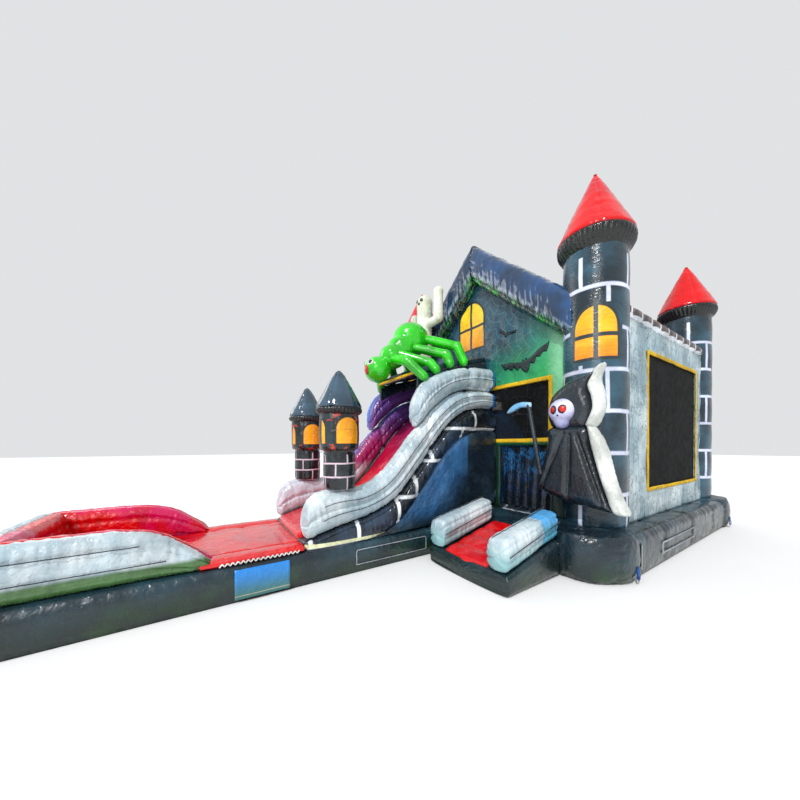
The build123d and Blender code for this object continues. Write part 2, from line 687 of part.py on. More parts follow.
def make_turrets():
    """The two little turrets on the ends of the slide bolsters, with their roofs."""
    shafts = []
    roofs = []
    head_z = TURRET_FOOT_Z + TURRET_SHAFT_H
    rim_z = head_z + TURRET_HEAD_H
    for side in (1, -1):
        x = turret_x(side)
        shell = post(x, TURRET_Y, TURRET_FOOT_Z, head_z, TURRET_R)
        shell = shell + post(x, TURRET_Y, head_z, rim_z, TURRET_HEAD_R)
        air = post(x, TURRET_Y, TURRET_FOOT_Z + SKIN, head_z + SKIN, TURRET_R - SKIN)
        air = air + post(x, TURRET_Y, head_z + SKIN, rim_z - SKIN, TURRET_HEAD_R - SKIN)
        shafts.append(shell - air)
        cone = Cone(TURRET_RIM_R, TURRET_TIP_R, TURRET_ROOF_H)
        roof = Pos(x, TURRET_Y, rim_z + TURRET_ROOF_H / 2) * cone
        air_h = TURRET_ROOF_H - TIP_AIR
        cone = Cone(TURRET_RIM_R - SKIN * 2, TURRET_TIP_R, air_h)
        air = Pos(x, TURRET_Y, rim_z + SKIN + air_h / 2) * cone
        roofs.append(roof - air)
    save("exit_turrets", group(*shafts))
    save("exit_turret_roofs", group(*roofs))


def make_pool():
    """The pool: its base, its floor liner and the wall bolsters round three sides."""
    left, right = LANE_X - POOL_HALF_W, LANE_X + POOL_HALF_W
    start = BASE_FRONT_Y + TUBE_INSET - SEAM
    base = box(left, right, POOL_END_Y, start, 0, POOL_BASE_H)
    far = base.edges().filter_by(Axis.Z).sort_by(Axis.Y)[:2]
    base = fillet(far, POOL_CORNER_R)
    base = fillet(base.faces().sort_by(Axis.Z)[-1].edges().sort_by(Axis.Y)[:-1], POOL_ROUND)
    air = box(left + SKIN, right - SKIN, POOL_END_Y + SKIN, start - SKIN, SKIN, POOL_BASE_H - SKIN)
    air = fillet(air.edges().filter_by(Axis.Z).sort_by(Axis.Y)[:2], POOL_CORNER_R)
    save("pool_base", base - air)
    end_y = POOL_END_Y + POOL_SETBACK
    wall_end = end_y + BOLSTER_W
    inner = BOLSTER_IN - SEAM
    y0, y1 = wall_end + SEAM, SLIDE_END_Y - SEAM
    liner = box(LANE_X - inner, LANE_X + inner, y0, y1, POOL_BASE_H, POOL_BASE_H + LINER_T)
    save("pool_liner", liner)
    lip = POOL_BASE_H + LIP_H
    low_y, high_y = POOL_WALL_Y - POOL_WALL_RUN * CLIMB_LOW, POOL_WALL_Y - POOL_WALL_RUN * CLIMB_HIGH
    climb = [
        (POOL_WALL_Y, lip), (low_y, POOL_WALL_LOW + LIP_H * 2), (high_y, POOL_WALL_H - LIP_H),
        (POOL_WALL_Y - POOL_WALL_RUN, POOL_WALL_H),
    ]
    rim = Polyline(
        climb[-1], (wall_end, POOL_WALL_H), (wall_end, POOL_BASE_H), (SLIDE_END_Y - SEAM, POOL_BASE_H),
        (SLIDE_END_Y - SEAM, lip), climb[0],
    )
    face = make_face(Plane.YZ * Curve(children=[Spline(*climb), rim]))
    air = outline(
        [
            (high_y, POOL_BASE_H + SKIN), (wall_end + SKIN, POOL_BASE_H + SKIN),
            (wall_end + SKIN, POOL_WALL_H - SKIN), (climb[-1][0] - SKIN, POOL_WALL_H - SKIN),
            (high_y, POOL_WALL_H - LIP_H - SKIN * 2),
        ]
    )
    for name, side in (("pool_bolster_right", 1), ("pool_bolster_left", -1)):
        x0, x1 = sorted((LANE_X + side * BOLSTER_IN, LANE_X + side * SLIDE_HALF_W))
        save(name, side_solid(face, x0, x1) - side_solid(air, x0 + SKIN, x1 - SKIN))
    x0, x1 = LANE_X - SLIDE_HALF_W, LANE_X + SLIDE_HALF_W
    end = box(x0, x1, end_y, wall_end, POOL_BASE_H, POOL_WALL_H)
    end = fillet(end.edges().filter_by(Axis.Z).sort_by(Axis.Y)[:2], BOLSTER_W - SKIN)
    z0, z1 = POOL_BASE_H + SKIN, POOL_WALL_H - SKIN
    air = box(x0 + BOLSTER_W, x1 - BOLSTER_W, end_y + SKIN, wall_end - SKIN, z0, z1)
    save("pool_bolster_end", end - air)


def make_climb():
    """The padded climb to the slide, behind the front wall, with rolls to hold and step on."""
    x0, x1 = LANE_X - SLIDE_HALF_W + BOLSTER_W / 2, LANE_X + SLIDE_HALF_W - BOLSTER_W / 2
    y0 = FRONT_FACE_Y + WALL_T
    y1 = y0 + CLIMB_DEPTH
    y2 = y1 + CLIMB_RUN
    face = outline([(y0, FLOOR_H), (y2, FLOOR_H), (y1, SLIDE_TOP_H), (y0, SLIDE_TOP_H)])
    body = side_solid(face, x0, x1)
    air = outline(
        [
            (y0 + SKIN, FLOOR_H + SKIN), (y2 - SKIN * 3, FLOOR_H + SKIN),
            (y1 - SKIN / 2, SLIDE_TOP_H - SKIN), (y0 + SKIN, SLIDE_TOP_H - SKIN),
        ]
    )
    save("climb_wall", body - side_solid(air, x0 + SKIN, x1 - SKIN))
    rise = SLIDE_TOP_H - FLOOR_H
    holds = []
    for row in range(HOLD_ROWS):
        share = (row + 1) / (HOLD_ROWS + 1)
        y, z = y2 - CLIMB_RUN * share, FLOOR_H + rise * share
        holds.append(rod((x0 + HOLD_END, y, z), (x1 - HOLD_END, y, z), HOLD_R) - body)
    save("climb_holds", group(*holds))


def make_hoop():
    """The basketball hoop on the inside of the rear wall."""
    wall_y = REAR_WALL_Y - WALL_T / 2
    face_y = wall_y - HOOP_BOARD_T
    low = HOOP_Z - HOOP_BOARD_H * HOOP_DROP_SHARE
    half = HOOP_BOARD_W / 2
    save("hoop_board", box(HOOP_X - half, HOOP_X + half, face_y, wall_y, low, low + HOOP_BOARD_H))
    ring_y = face_y - HOOP_R - HOOP_ARM
    ring = Pos(HOOP_X, ring_y, HOOP_Z) * Torus(HOOP_R, HOOP_TUBE_R)
    arm = rod((HOOP_X, face_y, HOOP_Z), (HOOP_X, ring_y + HOOP_R, HOOP_Z), HOOP_TUBE_R)
    save("hoop_ring", ring + arm)


def make_spider(rests):
    """A plain spider that stands over the canopy, four legs to each side."""
    head, thorax, waist, abdomen = [(LANE_X, SPIDER_Y + y, SPIDER_Z + z) for y, z in SPIDER_LINE]
    body = fuse(
        ball(head, SPIDER_HEAD_R), ball(thorax, SPIDER_THORAX_R), ball(waist, SPIDER_THORAX_R),
        ball(abdomen, SPIDER_ABDOMEN_R),
    )
    save("spider_body", body)
    legs = []
    for side in (1, -1):
        for hip, knee, foot in LEG_LINES:
            points = [(LANE_X + side * x, SPIDER_Y + y, SPIDER_Z + z) for x, y, z in (hip, knee, foot)]
            leg = fuse(
                rod(points[0], points[1], LEG_R), ball(points[1], LEG_R), rod(points[1], points[2], LEG_R),
                ball(points[2], LEG_R),
            )
            leg = leg - body
            for rest in rests:
                leg = leg - rest
            legs.append(leg.solids().sort_by(SortBy.VOLUME)[-1])
    save("spider_legs", group(*legs))


def flat_figure(points, y0, depth):
    """A padded flat shape in the X-Z plane, from its outline."""
    face = Plane.XZ * make_face(Polyline(*points, close=True))
    return Pos(0, y0, 0) * extrude(face, depth, dir=(0, 1, 0))


def make_figures():
    """The hooded figure before the front right tower, and the ghost beside the gable."""
    front = -TOWER_Y - TOWER_R - SEAM - ROBE_T
    save("hooded_robe", flat_figure([(HOOD_X + x, z) for x, z in ROBE_OUTLINE], front, ROBE_T))
    hood = flat_figure([(HOOD_X + x, z) for x, z in HOOD_OUTLINE], front - HOOD_PROUD, ROBE_T + HOOD_PROUD)
    face = ball((HOOD_X - FACE_SHIFT, front - HOOD_PROUD, FACE_Z), FACE_R)
    save("hooded_head", hood + face)
    grip_y = front - SCYTHE_R - HOOD_PROUD
    top = (HOOD_X - SCYTHE_TOP_X, grip_y, SCYTHE_TOP_Z)
    foot = (HOOD_X - SCYTHE_FOOT_X, grip_y, SCYTHE_FOOT_Z)
    blade = [(top[0] + x, top[2] + z) for x, z in BLADE_OUTLINE]
    save("scythe", rod(foot, top, SCYTHE_R) + flat_figure(blade, grip_y - BLADE_T / 2, BLADE_T))
    y = GABLE_FRONT_Y - GHOST_R - SEAM
    body = post(GHOST_X, y, GHOST_LOW_Z, GHOST_TOP_Z - GHOST_R, GHOST_R)
    body = body + ball((GHOST_X, y, GHOST_TOP_Z - GHOST_R), GHOST_R)
    for x, low, high in GHOST_ARMS:
        elbow = (GHOST_X + x, y, low)
        body = body + rod((GHOST_X, y, low), elbow, GHOST_ARM_R) + ball(elbow, GHOST_ARM_R)
        body = body + rod(elbow, (GHOST_X + x, y, high), GHOST_ARM_R)
        body = body + ball((GHOST_X + x, y, high), GHOST_ARM_R)
    save("ghost", body)


def lying(x0, x1, y, z, radius):
    """A round bar along X."""
    return rod((x0, y, z), (x1, y, z), radius)


def outward(x, y0, y1, z, radius):
    """A round bar along Y."""
    return rod((x, y0, z), (x, y1, z), radius)


def make_blower():
    """The blower: scroll housing with nozzle, handle and feet, motor, impeller and trim."""
    x0, x1 = BLOWER_X - BLOWER_W / 2, BLOWER_X + BLOWER_W / 2
    y, z = BLOWER_Y, BLOWER_Z
    shell = lying(x0, x1, y, z, BLOWER_R) + outward(BLOWER_X, NOZZLE_Y, y, NOZZLE_Z, NOZZLE_R)
    for foot_y in (y - FOOT_SPREAD, y + FOOT_SPREAD):
        shell = shell + box(x0, x1, foot_y - FOOT_W / 2, foot_y + FOOT_W / 2, 0, z - BLOWER_R / 2)
    bar_z = z + BLOWER_R + HANDLE_UP
    for post_y in (y - HANDLE_SPREAD, y + HANDLE_SPREAD):
        shell = shell + post(BLOWER_X, post_y, z + BLOWER_R / 2, bar_z, HANDLE_R)
        shell = shell + ball((BLOWER_X, post_y, bar_z), HANDLE_R)
    shell = shell + outward(BLOWER_X, y - HANDLE_SPREAD, y + HANDLE_SPREAD, bar_z, HANDLE_R)
    hollow = lying(x0 + BLOWER_WALL, x1 - BLOWER_WALL, y, z, BLOWER_R - BLOWER_WALL)
    hollow = hollow + outward(BLOWER_X, NOZZLE_Y - CUT, y, NOZZLE_Z, NOZZLE_R - BLOWER_WALL)
    hollow = hollow + lying(x1 - BLOWER_WALL - CUT, x1 + CUT, y, z, INTAKE_R)
    save("blower_housing", (shell - hollow) + switch_bezel(x0))
    motor_x1 = x0 + BLOWER_WALL + MOTOR_W
    pocket_x = x0 + BLOWER_WALL + MOTOR_END
    bore = lying(pocket_x, motor_x1 + CUT, y, z, SHAFT_R + SHAFT_CLEAR)
    save("blower_motor", lying(x0 + BLOWER_WALL, motor_x1, y, z, MOTOR_R) - bore)
    back = motor_x1 + IMPELLER_GAP
    front = back + IMPELLER_W
    wheel = lying(pocket_x + MOTOR_END, back + PLATE_T, y, z, SHAFT_R)
    wheel = wheel + lying(back, back + PLATE_T, y, z, IMPELLER_R)
    wheel = wheel + lying(front - PLATE_T, front, y, z, IMPELLER_R)
    wheel = wheel - lying(front - PLATE_T - CUT, front + CUT, y, z, INTAKE_R + BLADE_D / 4)
    for count in range(BLADES):
        turn = count * 360 / BLADES
        blade = Pos(0, 0, IMPELLER_R - BLADE_D / 2 - FAN_T) * Box(IMPELLER_W, FAN_T, BLADE_D)
        wheel = wheel + Pos((back + front) / 2, y, z) * Rot(turn, 0, 0) * blade
    save("blower_impeller", wheel)
    grille = lying(x1, x1 + GRILLE_T, y, z, INTAKE_R + GRILLE_T * 2)
    grille = grille - lying(x1 - CUT, x1 + GRILLE_T + CUT, y, z, INTAKE_R - GRILLE_T)
    for count in range(-GRILLE_BARS, GRILLE_BARS + 1):
        across = count * INTAKE_R / (GRILLE_BARS + 1)
        half = (INTAKE_R**2 - across**2) ** 0.5
        z0 = z + across - GRILLE_BAR / 2
        grille = grille + box(x1, x1 + GRILLE_T, y - half, y + half, z0, z0 + GRILLE_BAR)
    save("blower_grille", grille)
    make_blower_trim(x0)
    sleeve_end = NOZZLE_Y + SLEEVE_OVER
    bore_r = NOZZLE_R + TUBE_CLEAR
    tube = outward(BLOWER_X, TUBE_REAR_Y, sleeve_end, NOZZLE_Z, bore_r + TUBE_WALL)
    save("inflation_tube", tube - outward(BLOWER_X, TUBE_REAR_Y - CUT, sleeve_end + CUT, NOZZLE_Z, bore_r))
    strap_y = NOZZLE_Y + SLEEVE_OVER / 2
    strap_r = bore_r + TUBE_WALL + STRAP_GAP
    ring = outward(BLOWER_X, strap_y, strap_y + STRAP_W, NOZZLE_Z, strap_r + STRAP_T)
    save("tube_strap", ring - outward(BLOWER_X, strap_y - CUT, strap_y + STRAP_W + CUT, NOZZLE_Z, strap_r))
    spare_end = TUBE_REAR_Y + SPARE_RUN
    spare = outward(SPARE_X, TUBE_REAR_Y, spare_end, NOZZLE_Z, SPARE_R + TUBE_WALL)
    save("spare_tube", spare - outward(SPARE_X, TUBE_REAR_Y - CUT, spare_end + CUT, NOZZLE_Z, SPARE_R))


def switch_place(x0):
    """The rocker's pivot, outside the housing's motor side."""
    return x0 - SWITCH_OUT, BLOWER_Y - GLAND_OUT, BLOWER_Z


def switch_block(x0, grow, deep):
    """A block about the rocker's pivot, grown all round."""
    x, y, z = switch_place(x0)
    half_w, half_h = SWITCH_W / 2 + grow, SWITCH_H / 2 + grow
    return box(x - deep, x + deep, y - half_w, y + half_w, z - half_h, z + half_h)


def switch_bezel(x0):
    """The raised frame on the housing that carries the rocker's pins."""
    x, y, z = switch_place(x0)
    frame = switch_block(x0, BEZEL_W, SWITCH_OUT) - switch_block(x0, BEZEL_GAP, SWITCH_OUT * 2)
    span = SWITCH_W / 2 + BEZEL_GAP + PIN_L + BEZEL_GAP
    return frame - outward(x, y - span, y + span, z, PIN_R + PIN_CLEAR)


def make_blower_trim(x0):
    """The rocker switch and the cable gland on the motor side of the housing."""
    x, y, z = switch_place(x0)
    gland = lying(x0 - GLAND_L, x0, y, z - GLAND_DROP, GLAND_R)
    save("blower_gland", gland - lying(x0 - GLAND_L - CUT, x0 + CUT, y, z - GLAND_DROP, GLAND_BORE_R))
    span = SWITCH_W / 2 + BEZEL_GAP + PIN_L
    save("blower_switch", switch_block(x0, 0, SWITCH_T / 2) + outward(x, y - span, y + span, z, PIN_R))


def make_anchors():
    """Webbing tabs on the base corners, each with a steel ring that swings in its sleeve."""
    tabs = []
    names = ("front_right", "rear_right", "front_left", "rear_left")
    for name, (x, y) in zip(names, CORNER_PLACES):
        side = 1 if x > 0 else -1
        pivot_x = side * (BASE_X + SLEEVE_R + SEAM)
        pivot_z = ANCHOR_Z - ANCHOR_TAB_H / 2
        half = ANCHOR_TAB_W / 2
        x0, x1 = sorted((side * (BASE_X - ANCHOR_TAB_T), side * (BASE_X + ANCHOR_TAB_T)))
        tab = box(x0, x1, y - half, y + half, pivot_z, ANCHOR_Z + ANCHOR_TAB_H / 2)
        tab = tab + outward(pivot_x, y - half, y + half, pivot_z, SLEEVE_R)
        tab = tab - outward(pivot_x, y - half - CUT, y + half + CUT, pivot_z, RING_R + RING_CLEAR)
        tabs.append(tab - post(x, y, 0, CORNER_H, CORNER_R))
        bar = outward(pivot_x, y - RING_HALF_W, y + RING_HALF_W, pivot_z, RING_R)
        lower = Pos(0, -RING_HALF_W, 0) * Box(RING_HALF_W * 4, RING_HALF_W * 2, RING_R * 4)
        bow = Torus(RING_HALF_W, RING_R) & lower
        bow = Pos(pivot_x, y, pivot_z) * Rot(0, 0, 90) * Rot(90, 0, 0) * bow
        ends = [ball((pivot_x, y + turn * RING_HALF_W, pivot_z), RING_R) for turn in (-1, 1)]
        save(f"anchor_ring_{name}", fuse(bar, *ends, bow))
    save("anchor_tabs", group(*tabs))


def make_zip():
    """The deflation zip across the rear of the base, with its slider."""
    y1 = TUBE_REAR_Y + ZIP_T
    save("zip_strip", box(-ZIP_W / 2, ZIP_W / 2, TUBE_REAR_Y, y1, ZIP_Z - ZIP_H / 2, ZIP_Z + ZIP_H / 2))
    x0 = -ZIP_W / 2 + ZIP_H / 2
    y0 = y1 + SLIDER_GAP
    save(
        "zip_slider", box(x0, x0 + SLIDER_L, y0, y0 + ZIP_T * 2, ZIP_Z - SLIDER_L / 3, ZIP_Z + SLIDER_L / 3)
    )


if __name__ == "__main__":
    make_base()
    make_towers()
    make_side_walls()
    make_front_wall()
    make_gable()
    make_door_flaps()
    make_ramp()
    rests = make_slide()
    make_turrets()
    make_pool()
    make_climb()
    make_hoop()
    make_spider(rests)
    make_figures()
    make_blower()
    make_anchors()
    make_zip()
    for node, shape in made.items():
        export_step(shape, f"parts/{node}.step")
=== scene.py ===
import math
from functools import partial

import bmesh
import bpy
import numpy as np
from bpy.props import FloatProperty, FloatVectorProperty, IntProperty, PointerProperty
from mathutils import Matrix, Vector
from mathutils.geometry import delaunay_2d_cdt


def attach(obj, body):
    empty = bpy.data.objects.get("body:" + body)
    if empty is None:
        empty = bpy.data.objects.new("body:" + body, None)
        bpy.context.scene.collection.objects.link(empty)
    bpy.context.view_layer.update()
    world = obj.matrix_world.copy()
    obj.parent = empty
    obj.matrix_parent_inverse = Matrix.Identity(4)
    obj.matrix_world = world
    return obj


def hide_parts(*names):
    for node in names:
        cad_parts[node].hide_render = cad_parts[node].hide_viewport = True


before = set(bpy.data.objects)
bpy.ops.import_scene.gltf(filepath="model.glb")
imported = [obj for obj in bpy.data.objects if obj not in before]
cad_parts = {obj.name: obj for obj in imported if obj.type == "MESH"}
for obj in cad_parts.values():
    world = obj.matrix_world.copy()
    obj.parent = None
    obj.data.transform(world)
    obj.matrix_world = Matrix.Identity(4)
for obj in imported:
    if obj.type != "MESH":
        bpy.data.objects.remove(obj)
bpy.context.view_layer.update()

bl_info = {
    "name": "Inflatable Bounce House",
    "version": (1, 0, 0),
    "blender": (4, 5, 0),
    "location": "View3D > Sidebar > Bounce House",
    "description": "Builds the visible pieces of an inflatable castle with a slide and splash pool",
    "category": "Object",
}

HOUSE = "house"
TAU = 2 * math.pi
MESH_STEP = 0.026  # spacing of mesh rows on an inflated chamber, in metres

# Places of the main chambers, in metres.
TOWERS = {
    "front_right": (1.89, -1.83), "front_left": (-1.89, -1.83), "rear_right": (1.89, 1.83),
    "rear_left": (-1.89, 1.83)
}
CORNERS = [(1.97, -2.18), (1.97, 1.91), (-1.97, -2.18), (-1.97, 1.91)]
LANE_X = -0.375
FRONT_Y = -1.96
REAR_Y = 2.07
WALL_X = 2.13
WALL_HALF = 1.72
WALL_FOOT, WALL_TOP = 0.49, 3.16
NET_OFF = 0.031  # from a wall's middle to the webbing on its face
CURTAIN_Y = -1.9
TURRET_Y = -4.69
SLEEVE_X, SLEEVE_Z = 1.25, 0.17
GABLE_SLOPE = math.atan2(1.43, 1.627)
ROOF_DROP = 1.26 / 2.13  # fall of the roof sheets from ridge to eaves, per metre across
TUBE_TOP = [
    (-1.99, 2.38), (-2.4, 2.385), (-2.85, 2.32), (-3.25, 2.08), (-3.68, 1.65), (-4.1, 1.19), (-4.43, 1.01),
    (-4.85, 1.0), (-5.06, 0.91), (-5.15, 0.76)
]
TUBE_LOW = [
    (-1.99, 2.1), (-2.41, 2.09), (-2.8, 1.96), (-3.14, 1.7), (-3.5, 1.27), (-3.91, 0.83), (-4.3, 0.64),
    (-4.73, 0.54), (-5.15, 0.42)
]
UPPER_TOP = [(-1.99, 2.78), (-2.6, 2.74), (-3.1, 2.6), (-3.45, 2.4), (-3.64, 2.1)]
UPPER_LOW = [(-1.99, 2.382), (-2.4, 2.387), (-2.85, 2.322), (-3.25, 2.082), (-3.64, 1.702)]


# ---------------------------------------------------------------- node graphs


class Field:
    """A value inside a node tree, with plain arithmetic on it."""

    def __init__(self, graph, socket):
        """Holds one socket of a graph, or a plain number."""
        self.graph = graph
        self.socket = socket

    def run(self, kind, *others):
        """A further step of math on this value."""
        return self.graph.math(kind, self, *others)

    def __add__(self, other):
        return self.run("ADD", other)

    __radd__ = __add__

    def __sub__(self, other):
        return self.run("SUBTRACT", other)

    def __rsub__(self, other):
        return self.graph.math("SUBTRACT", other, self)

    def __mul__(self, other):
        return self.run("MULTIPLY", other)

    __rmul__ = __mul__

    def __truediv__(self, other):
        return self.run("DIVIDE", other)

    def fract(self):
        """The part after the whole number."""
        return self.run("FRACT")

    def floor(self):
        """The whole number below."""
        return self.run("FLOOR")

    def size(self):
        """The value without its sign."""
        return self.run("ABSOLUTE")

    def wave(self):
        """The sine."""
        return self.run("SINE")

    def upto(self, other):
        """The smaller of the two."""
        return self.run("MINIMUM", other)

    def atleast(self, other):
        """The larger of the two."""
        return self.run("MAXIMUM", other)

    def above(self, edge, soft=0.004):
        """0 below the edge and 1 above it, with a soft change."""
        return self.graph.ramp(self, edge - soft, edge + soft)

    def below(self, edge, soft=0.004):
        """1 under an edge, 0 over it, with a soft step."""
        return 1.0 - self.above(edge, soft)

    def within(self, low, high, soft=0.004):
        """1 between two edges, 0 outside them."""
        return self.above(low, soft) * self.below(high, soft)


class Graph:
    """Adds nodes to one tree and links them."""

    def __init__(self, tree):
        """Starts on an empty node tree."""
        self.tree = tree

    def node(self, kind, inputs=None, **settings):
        """A new node, with its settings and inputs."""
        made = self.tree.nodes.new(kind)
        for name, value in settings.items():
            setattr(made, name, value)
        for name, value in (inputs or {}).items():
            self.feed(made.inputs[name], value)
        return made

    def feed(self, socket, value):
        """Gives an input a value, or a link from another node."""
        if isinstance(value, Field):
            value = value.socket
        if isinstance(value, bpy.types.NodeSocket):
            self.tree.links.new(value, socket)
        else:
            socket.default_value = value

    def math(self, kind, *values):
        """One math node."""
        node = self.node("ShaderNodeMath", dict(enumerate(values)), operation=kind)
        return Field(self, node.outputs[0])

    def ramp(self, value, low, high, start=0.0, end=1.0):
        """A value spread smoothly from one pair of ends to another."""
        inputs = {"Value": value, "From Min": low, "From Max": high, "To Min": start, "To Max": end}
        node = self.node("ShaderNodeMapRange", inputs, interpolation_type="SMOOTHSTEP")
        return Field(self, node.outputs["Result"])

    def vector(self, x, y, z):
        """Three values as one vector."""
        return self.node("ShaderNodeCombineXYZ", {0: x, 1: y, 2: z}).outputs[0]

    def parts(self, socket):
        """A vector's three values."""
        node = self.node("ShaderNodeSeparateXYZ", {0: socket})
        return [Field(self, node.outputs[i]) for i in range(3)]

    def noise(self, place, scale, detail=3.0, rough=0.55):
        """Noise at a place."""
        node = self.node(
            "ShaderNodeTexNoise", {"Vector": place, "Scale": scale, "Detail": detail, "Roughness": rough}
        )
        return Field(self, node.outputs[0])


class Paint(Graph):
    """The nodes of one vinyl, plastic or metal material."""

    def __init__(self, name):
        """Starts a material under this name."""
        self.material = bpy.data.materials.new(name)
        self.material.use_nodes = True
        super().__init__(self.material.node_tree)
        self.tree.nodes.clear()
        coordinates = self.node("ShaderNodeTexCoord")
        self.place = coordinates.outputs["Object"]
        self.x, self.y, self.z = self.parts(self.place)
        self.flat = coordinates.outputs["UV"]
        self.u, self.v, _ = self.parts(self.flat)

    def colour(self, value):
        """A colour with full opacity."""
        return (*value[:3], 1.0)

    def blend(self, share, first, second):
        """Two colours mixed by a field."""
        node = self.node("ShaderNodeMix", data_type="RGBA", clamp_factor=True)
        self.feed(node.inputs[0], share)
        for socket, value in ((node.inputs[6], first), (node.inputs[7], second)):
            self.feed(socket, self.colour(value) if isinstance(value, (tuple, list)) else value)
        return node.outputs[2]

    def patch(self, scale, detail, low, high, rough=0.55):
        """Soft patches of noise, 0 to 1."""
        return self.ramp(self.noise(self.place, scale, detail, rough), low, high)

    def shade(self, colour, light=1.25, dark=0.62, scale=2.3):
        """Uneven tone over a colour: large soft patches and fine mottling."""
        patch = self.noise(self.place, scale, 4.0, 0.6)
        fine = self.noise(self.place, 38.0, 2.0)
        share = self.ramp(patch * 0.8 + fine * 0.2, 0.32, 0.68, dark, light)
        node = self.node("ShaderNodeHueSaturation", {"Value": share, "Saturation": 1.0})
        self.feed(node.inputs["Color"], colour)
        return node.outputs[0]

    def creases(self, scale=5.0, stretch=(1.0, 1.0, 1.0)):
        """Sharp thin folds, as ridges of stretched noise."""
        mapping = self.node("ShaderNodeMapping", {"Vector": self.place, "Scale": stretch})
        first = (self.noise(mapping.outputs[0], scale, 3.0, 0.6) - 0.5).size()
        second = (self.noise(mapping.outputs[0], scale * 2.7, 2.0, 0.5) - 0.5).size()
        return self.ramp(first, 0.0, 0.09) * 0.7 + self.ramp(second, 0.0, 0.12) * 0.3

    def finish(
        self, colour, rough=(0.2, 0.36), folds=0.35, crease=0.4, weave=0.06, scale=5.0, stretch=(1, 1, 1),
        coat=0.25, metal=0.0, level=0.5, extra=None
    ):
        """Surface, gloss and bump: wrinkles, sharp creases and the cloth's weave under its coating."""
        worn = self.noise(self.place, 7.0, 4.0, 0.65)
        rough_field = self.ramp(worn, 0.3, 0.7, rough[0], rough[1])
        height = self.noise(self.place, 11.0, 3.0, 0.5) * folds + self.creases(scale, stretch) * crease
        ribs = (self.x * 1150.0 + self.y * 780.0).wave() * (self.z * 1150.0 + self.y * 640.0).wave()
        height = height + ribs * weave * 0.08
        if extra is not None:
            height = height + extra
        bump = self.node("ShaderNodeBump", {"Strength": 0.7, "Distance": 0.014})
        self.feed(bump.inputs["Height"], height)
        shader = self.node("ShaderNodeBsdfPrincipled")
        self.feed(shader.inputs["Base Color"], colour)
        self.feed(shader.inputs["Roughness"], rough_field)
        self.feed(shader.inputs["Normal"], bump.outputs[0])
        shader.inputs["Coat Weight"].default_value = coat
        shader.inputs["Coat Roughness"].default_value = 0.12
        shader.inputs["Metallic"].default_value = metal
        shader.inputs["Specular IOR Level"].default_value = level
        output = self.node("ShaderNodeOutputMaterial")
        self.tree.links.new(shader.outputs[0], output.inputs[0])
        return self.material


def courses(paint, across, up, width, height, line, start=0.0):
    """A mask of mortar lines: level courses with staggered uprights."""
    wobble = paint.noise(paint.place, 3.0, 2.0) * 0.022 - 0.011
    row = (up - start + wobble) / height
    level = (row.fract() - 0.5).size().above(0.5 - line / (2 * height), 0.02)
    shift = (row.floor() * 0.5).fract()
    upright = ((across + wobble) / width + shift).fract() - 0.5
    return level.atleast(upright.size().above(0.5 - line / (2 * width), 0.012))


def arch_mask(across, up, middle, half, low, spring, soft=0.005):
    """1 inside an arched opening, 0 outside."""
    from_middle = (across - middle).size()
    lower = from_middle.below(half, soft) * up.within(low, spring, soft)
    over = (up - spring) * (half / (half * 1.15))
    round_top = ((across - middle) * (across - middle) + over * over).run("SQRT").below(half, soft)
    return lower.atleast(round_top * up.above(spring, soft))


def arched_window(paint, base, across, up, middle, half, low, spring, bar, warm, deep, frame_tone):
    """Four warm panes with a dark frame and bars, printed on a wall or tower."""
    frame_mask = arch_mask(across, up, middle, half + bar * 0.8, low - bar * 0.8, spring)
    glass = arch_mask(across, up, middle, half, low, spring)
    upright = (across - middle).size().below(bar * 0.5, 0.004)
    level = (up - (low + (spring - low) * 0.78)).size().below(bar * 0.5, 0.004)
    panes = glass * (1.0 - upright.atleast(level))
    glow = paint.blend(paint.ramp(up, low, spring + half), deep, warm)
    streak = paint.noise(paint.vector(paint.x * 3.0, paint.y * 3.0, paint.z * 90.0), 1.0, 2.0)
    glow = paint.blend(paint.ramp(streak, 0.5, 0.75) * 0.35, glow, (1.0, 0.72, 0.08))
    return paint.blend(panes, paint.blend(frame_mask, base, frame_tone), glow)


# ---------------------------------------------------------------- shapes


def rough_field(points, scale, seed=0):
    """Smooth noise from -1 to 1 at each point, the same on every run."""
    places = np.asarray(points, float) * scale + seed * 13.37
    cell = np.floor(places).astype(np.int64)
    share = places - cell
    share = share * share * (3 - 2 * share)
    total = np.zeros(places.shape[:-1])
    for corner in range(8):
        step = np.array([corner & 1, corner >> 1 & 1, corner >> 2 & 1])
        key = cell + step
        mixed = (key[..., 0] * 73856093) ^ (key[..., 1] * 19349663) ^ (key[..., 2] * 83492791) ^ (
            seed * 2654435
        )
        mixed = (mixed ^ (mixed >> 13)) * 1274126177 & 0xFFFFFFFF
        value = ((mixed ^ (mixed >> 15)) & 0xFFFF) / 32767.5 - 1
        weight = np.where(step == 1, share, 1 - share).prod(-1)
        total = total + value * weight
    return total


def smooth_line(points, count):
    """A smooth curve through points, sampled evenly by length."""
    points = np.asarray(points, float)
    padded = np.vstack([2 * points[0] - points[1], points, 2 * points[-1] - points[-2]])
    dense = []
    for i in range(len(points) - 1):
        before, start, end, after = padded[i : i + 4]
        t = np.linspace(0, 1, 24, endpoint=False)[:, None]
        curve = 2 * start + (end - before) * t + (2 * before - 5 * start + 4 * end - after) * t**2
        dense.append((curve + (3 * start - before - 3 * end + after) * t**3) / 2)
    dense = np.vstack([*dense, points[-1:]])
    run = np.concatenate([[0], np.cumsum(np.linalg.norm(np.diff(dense, axis=0), axis=1))])
    want = np.linspace(0, run[-1], count)
    return np.stack([np.interp(want, run, dense[:, k]) for k in range(points.shape[1])], -1)


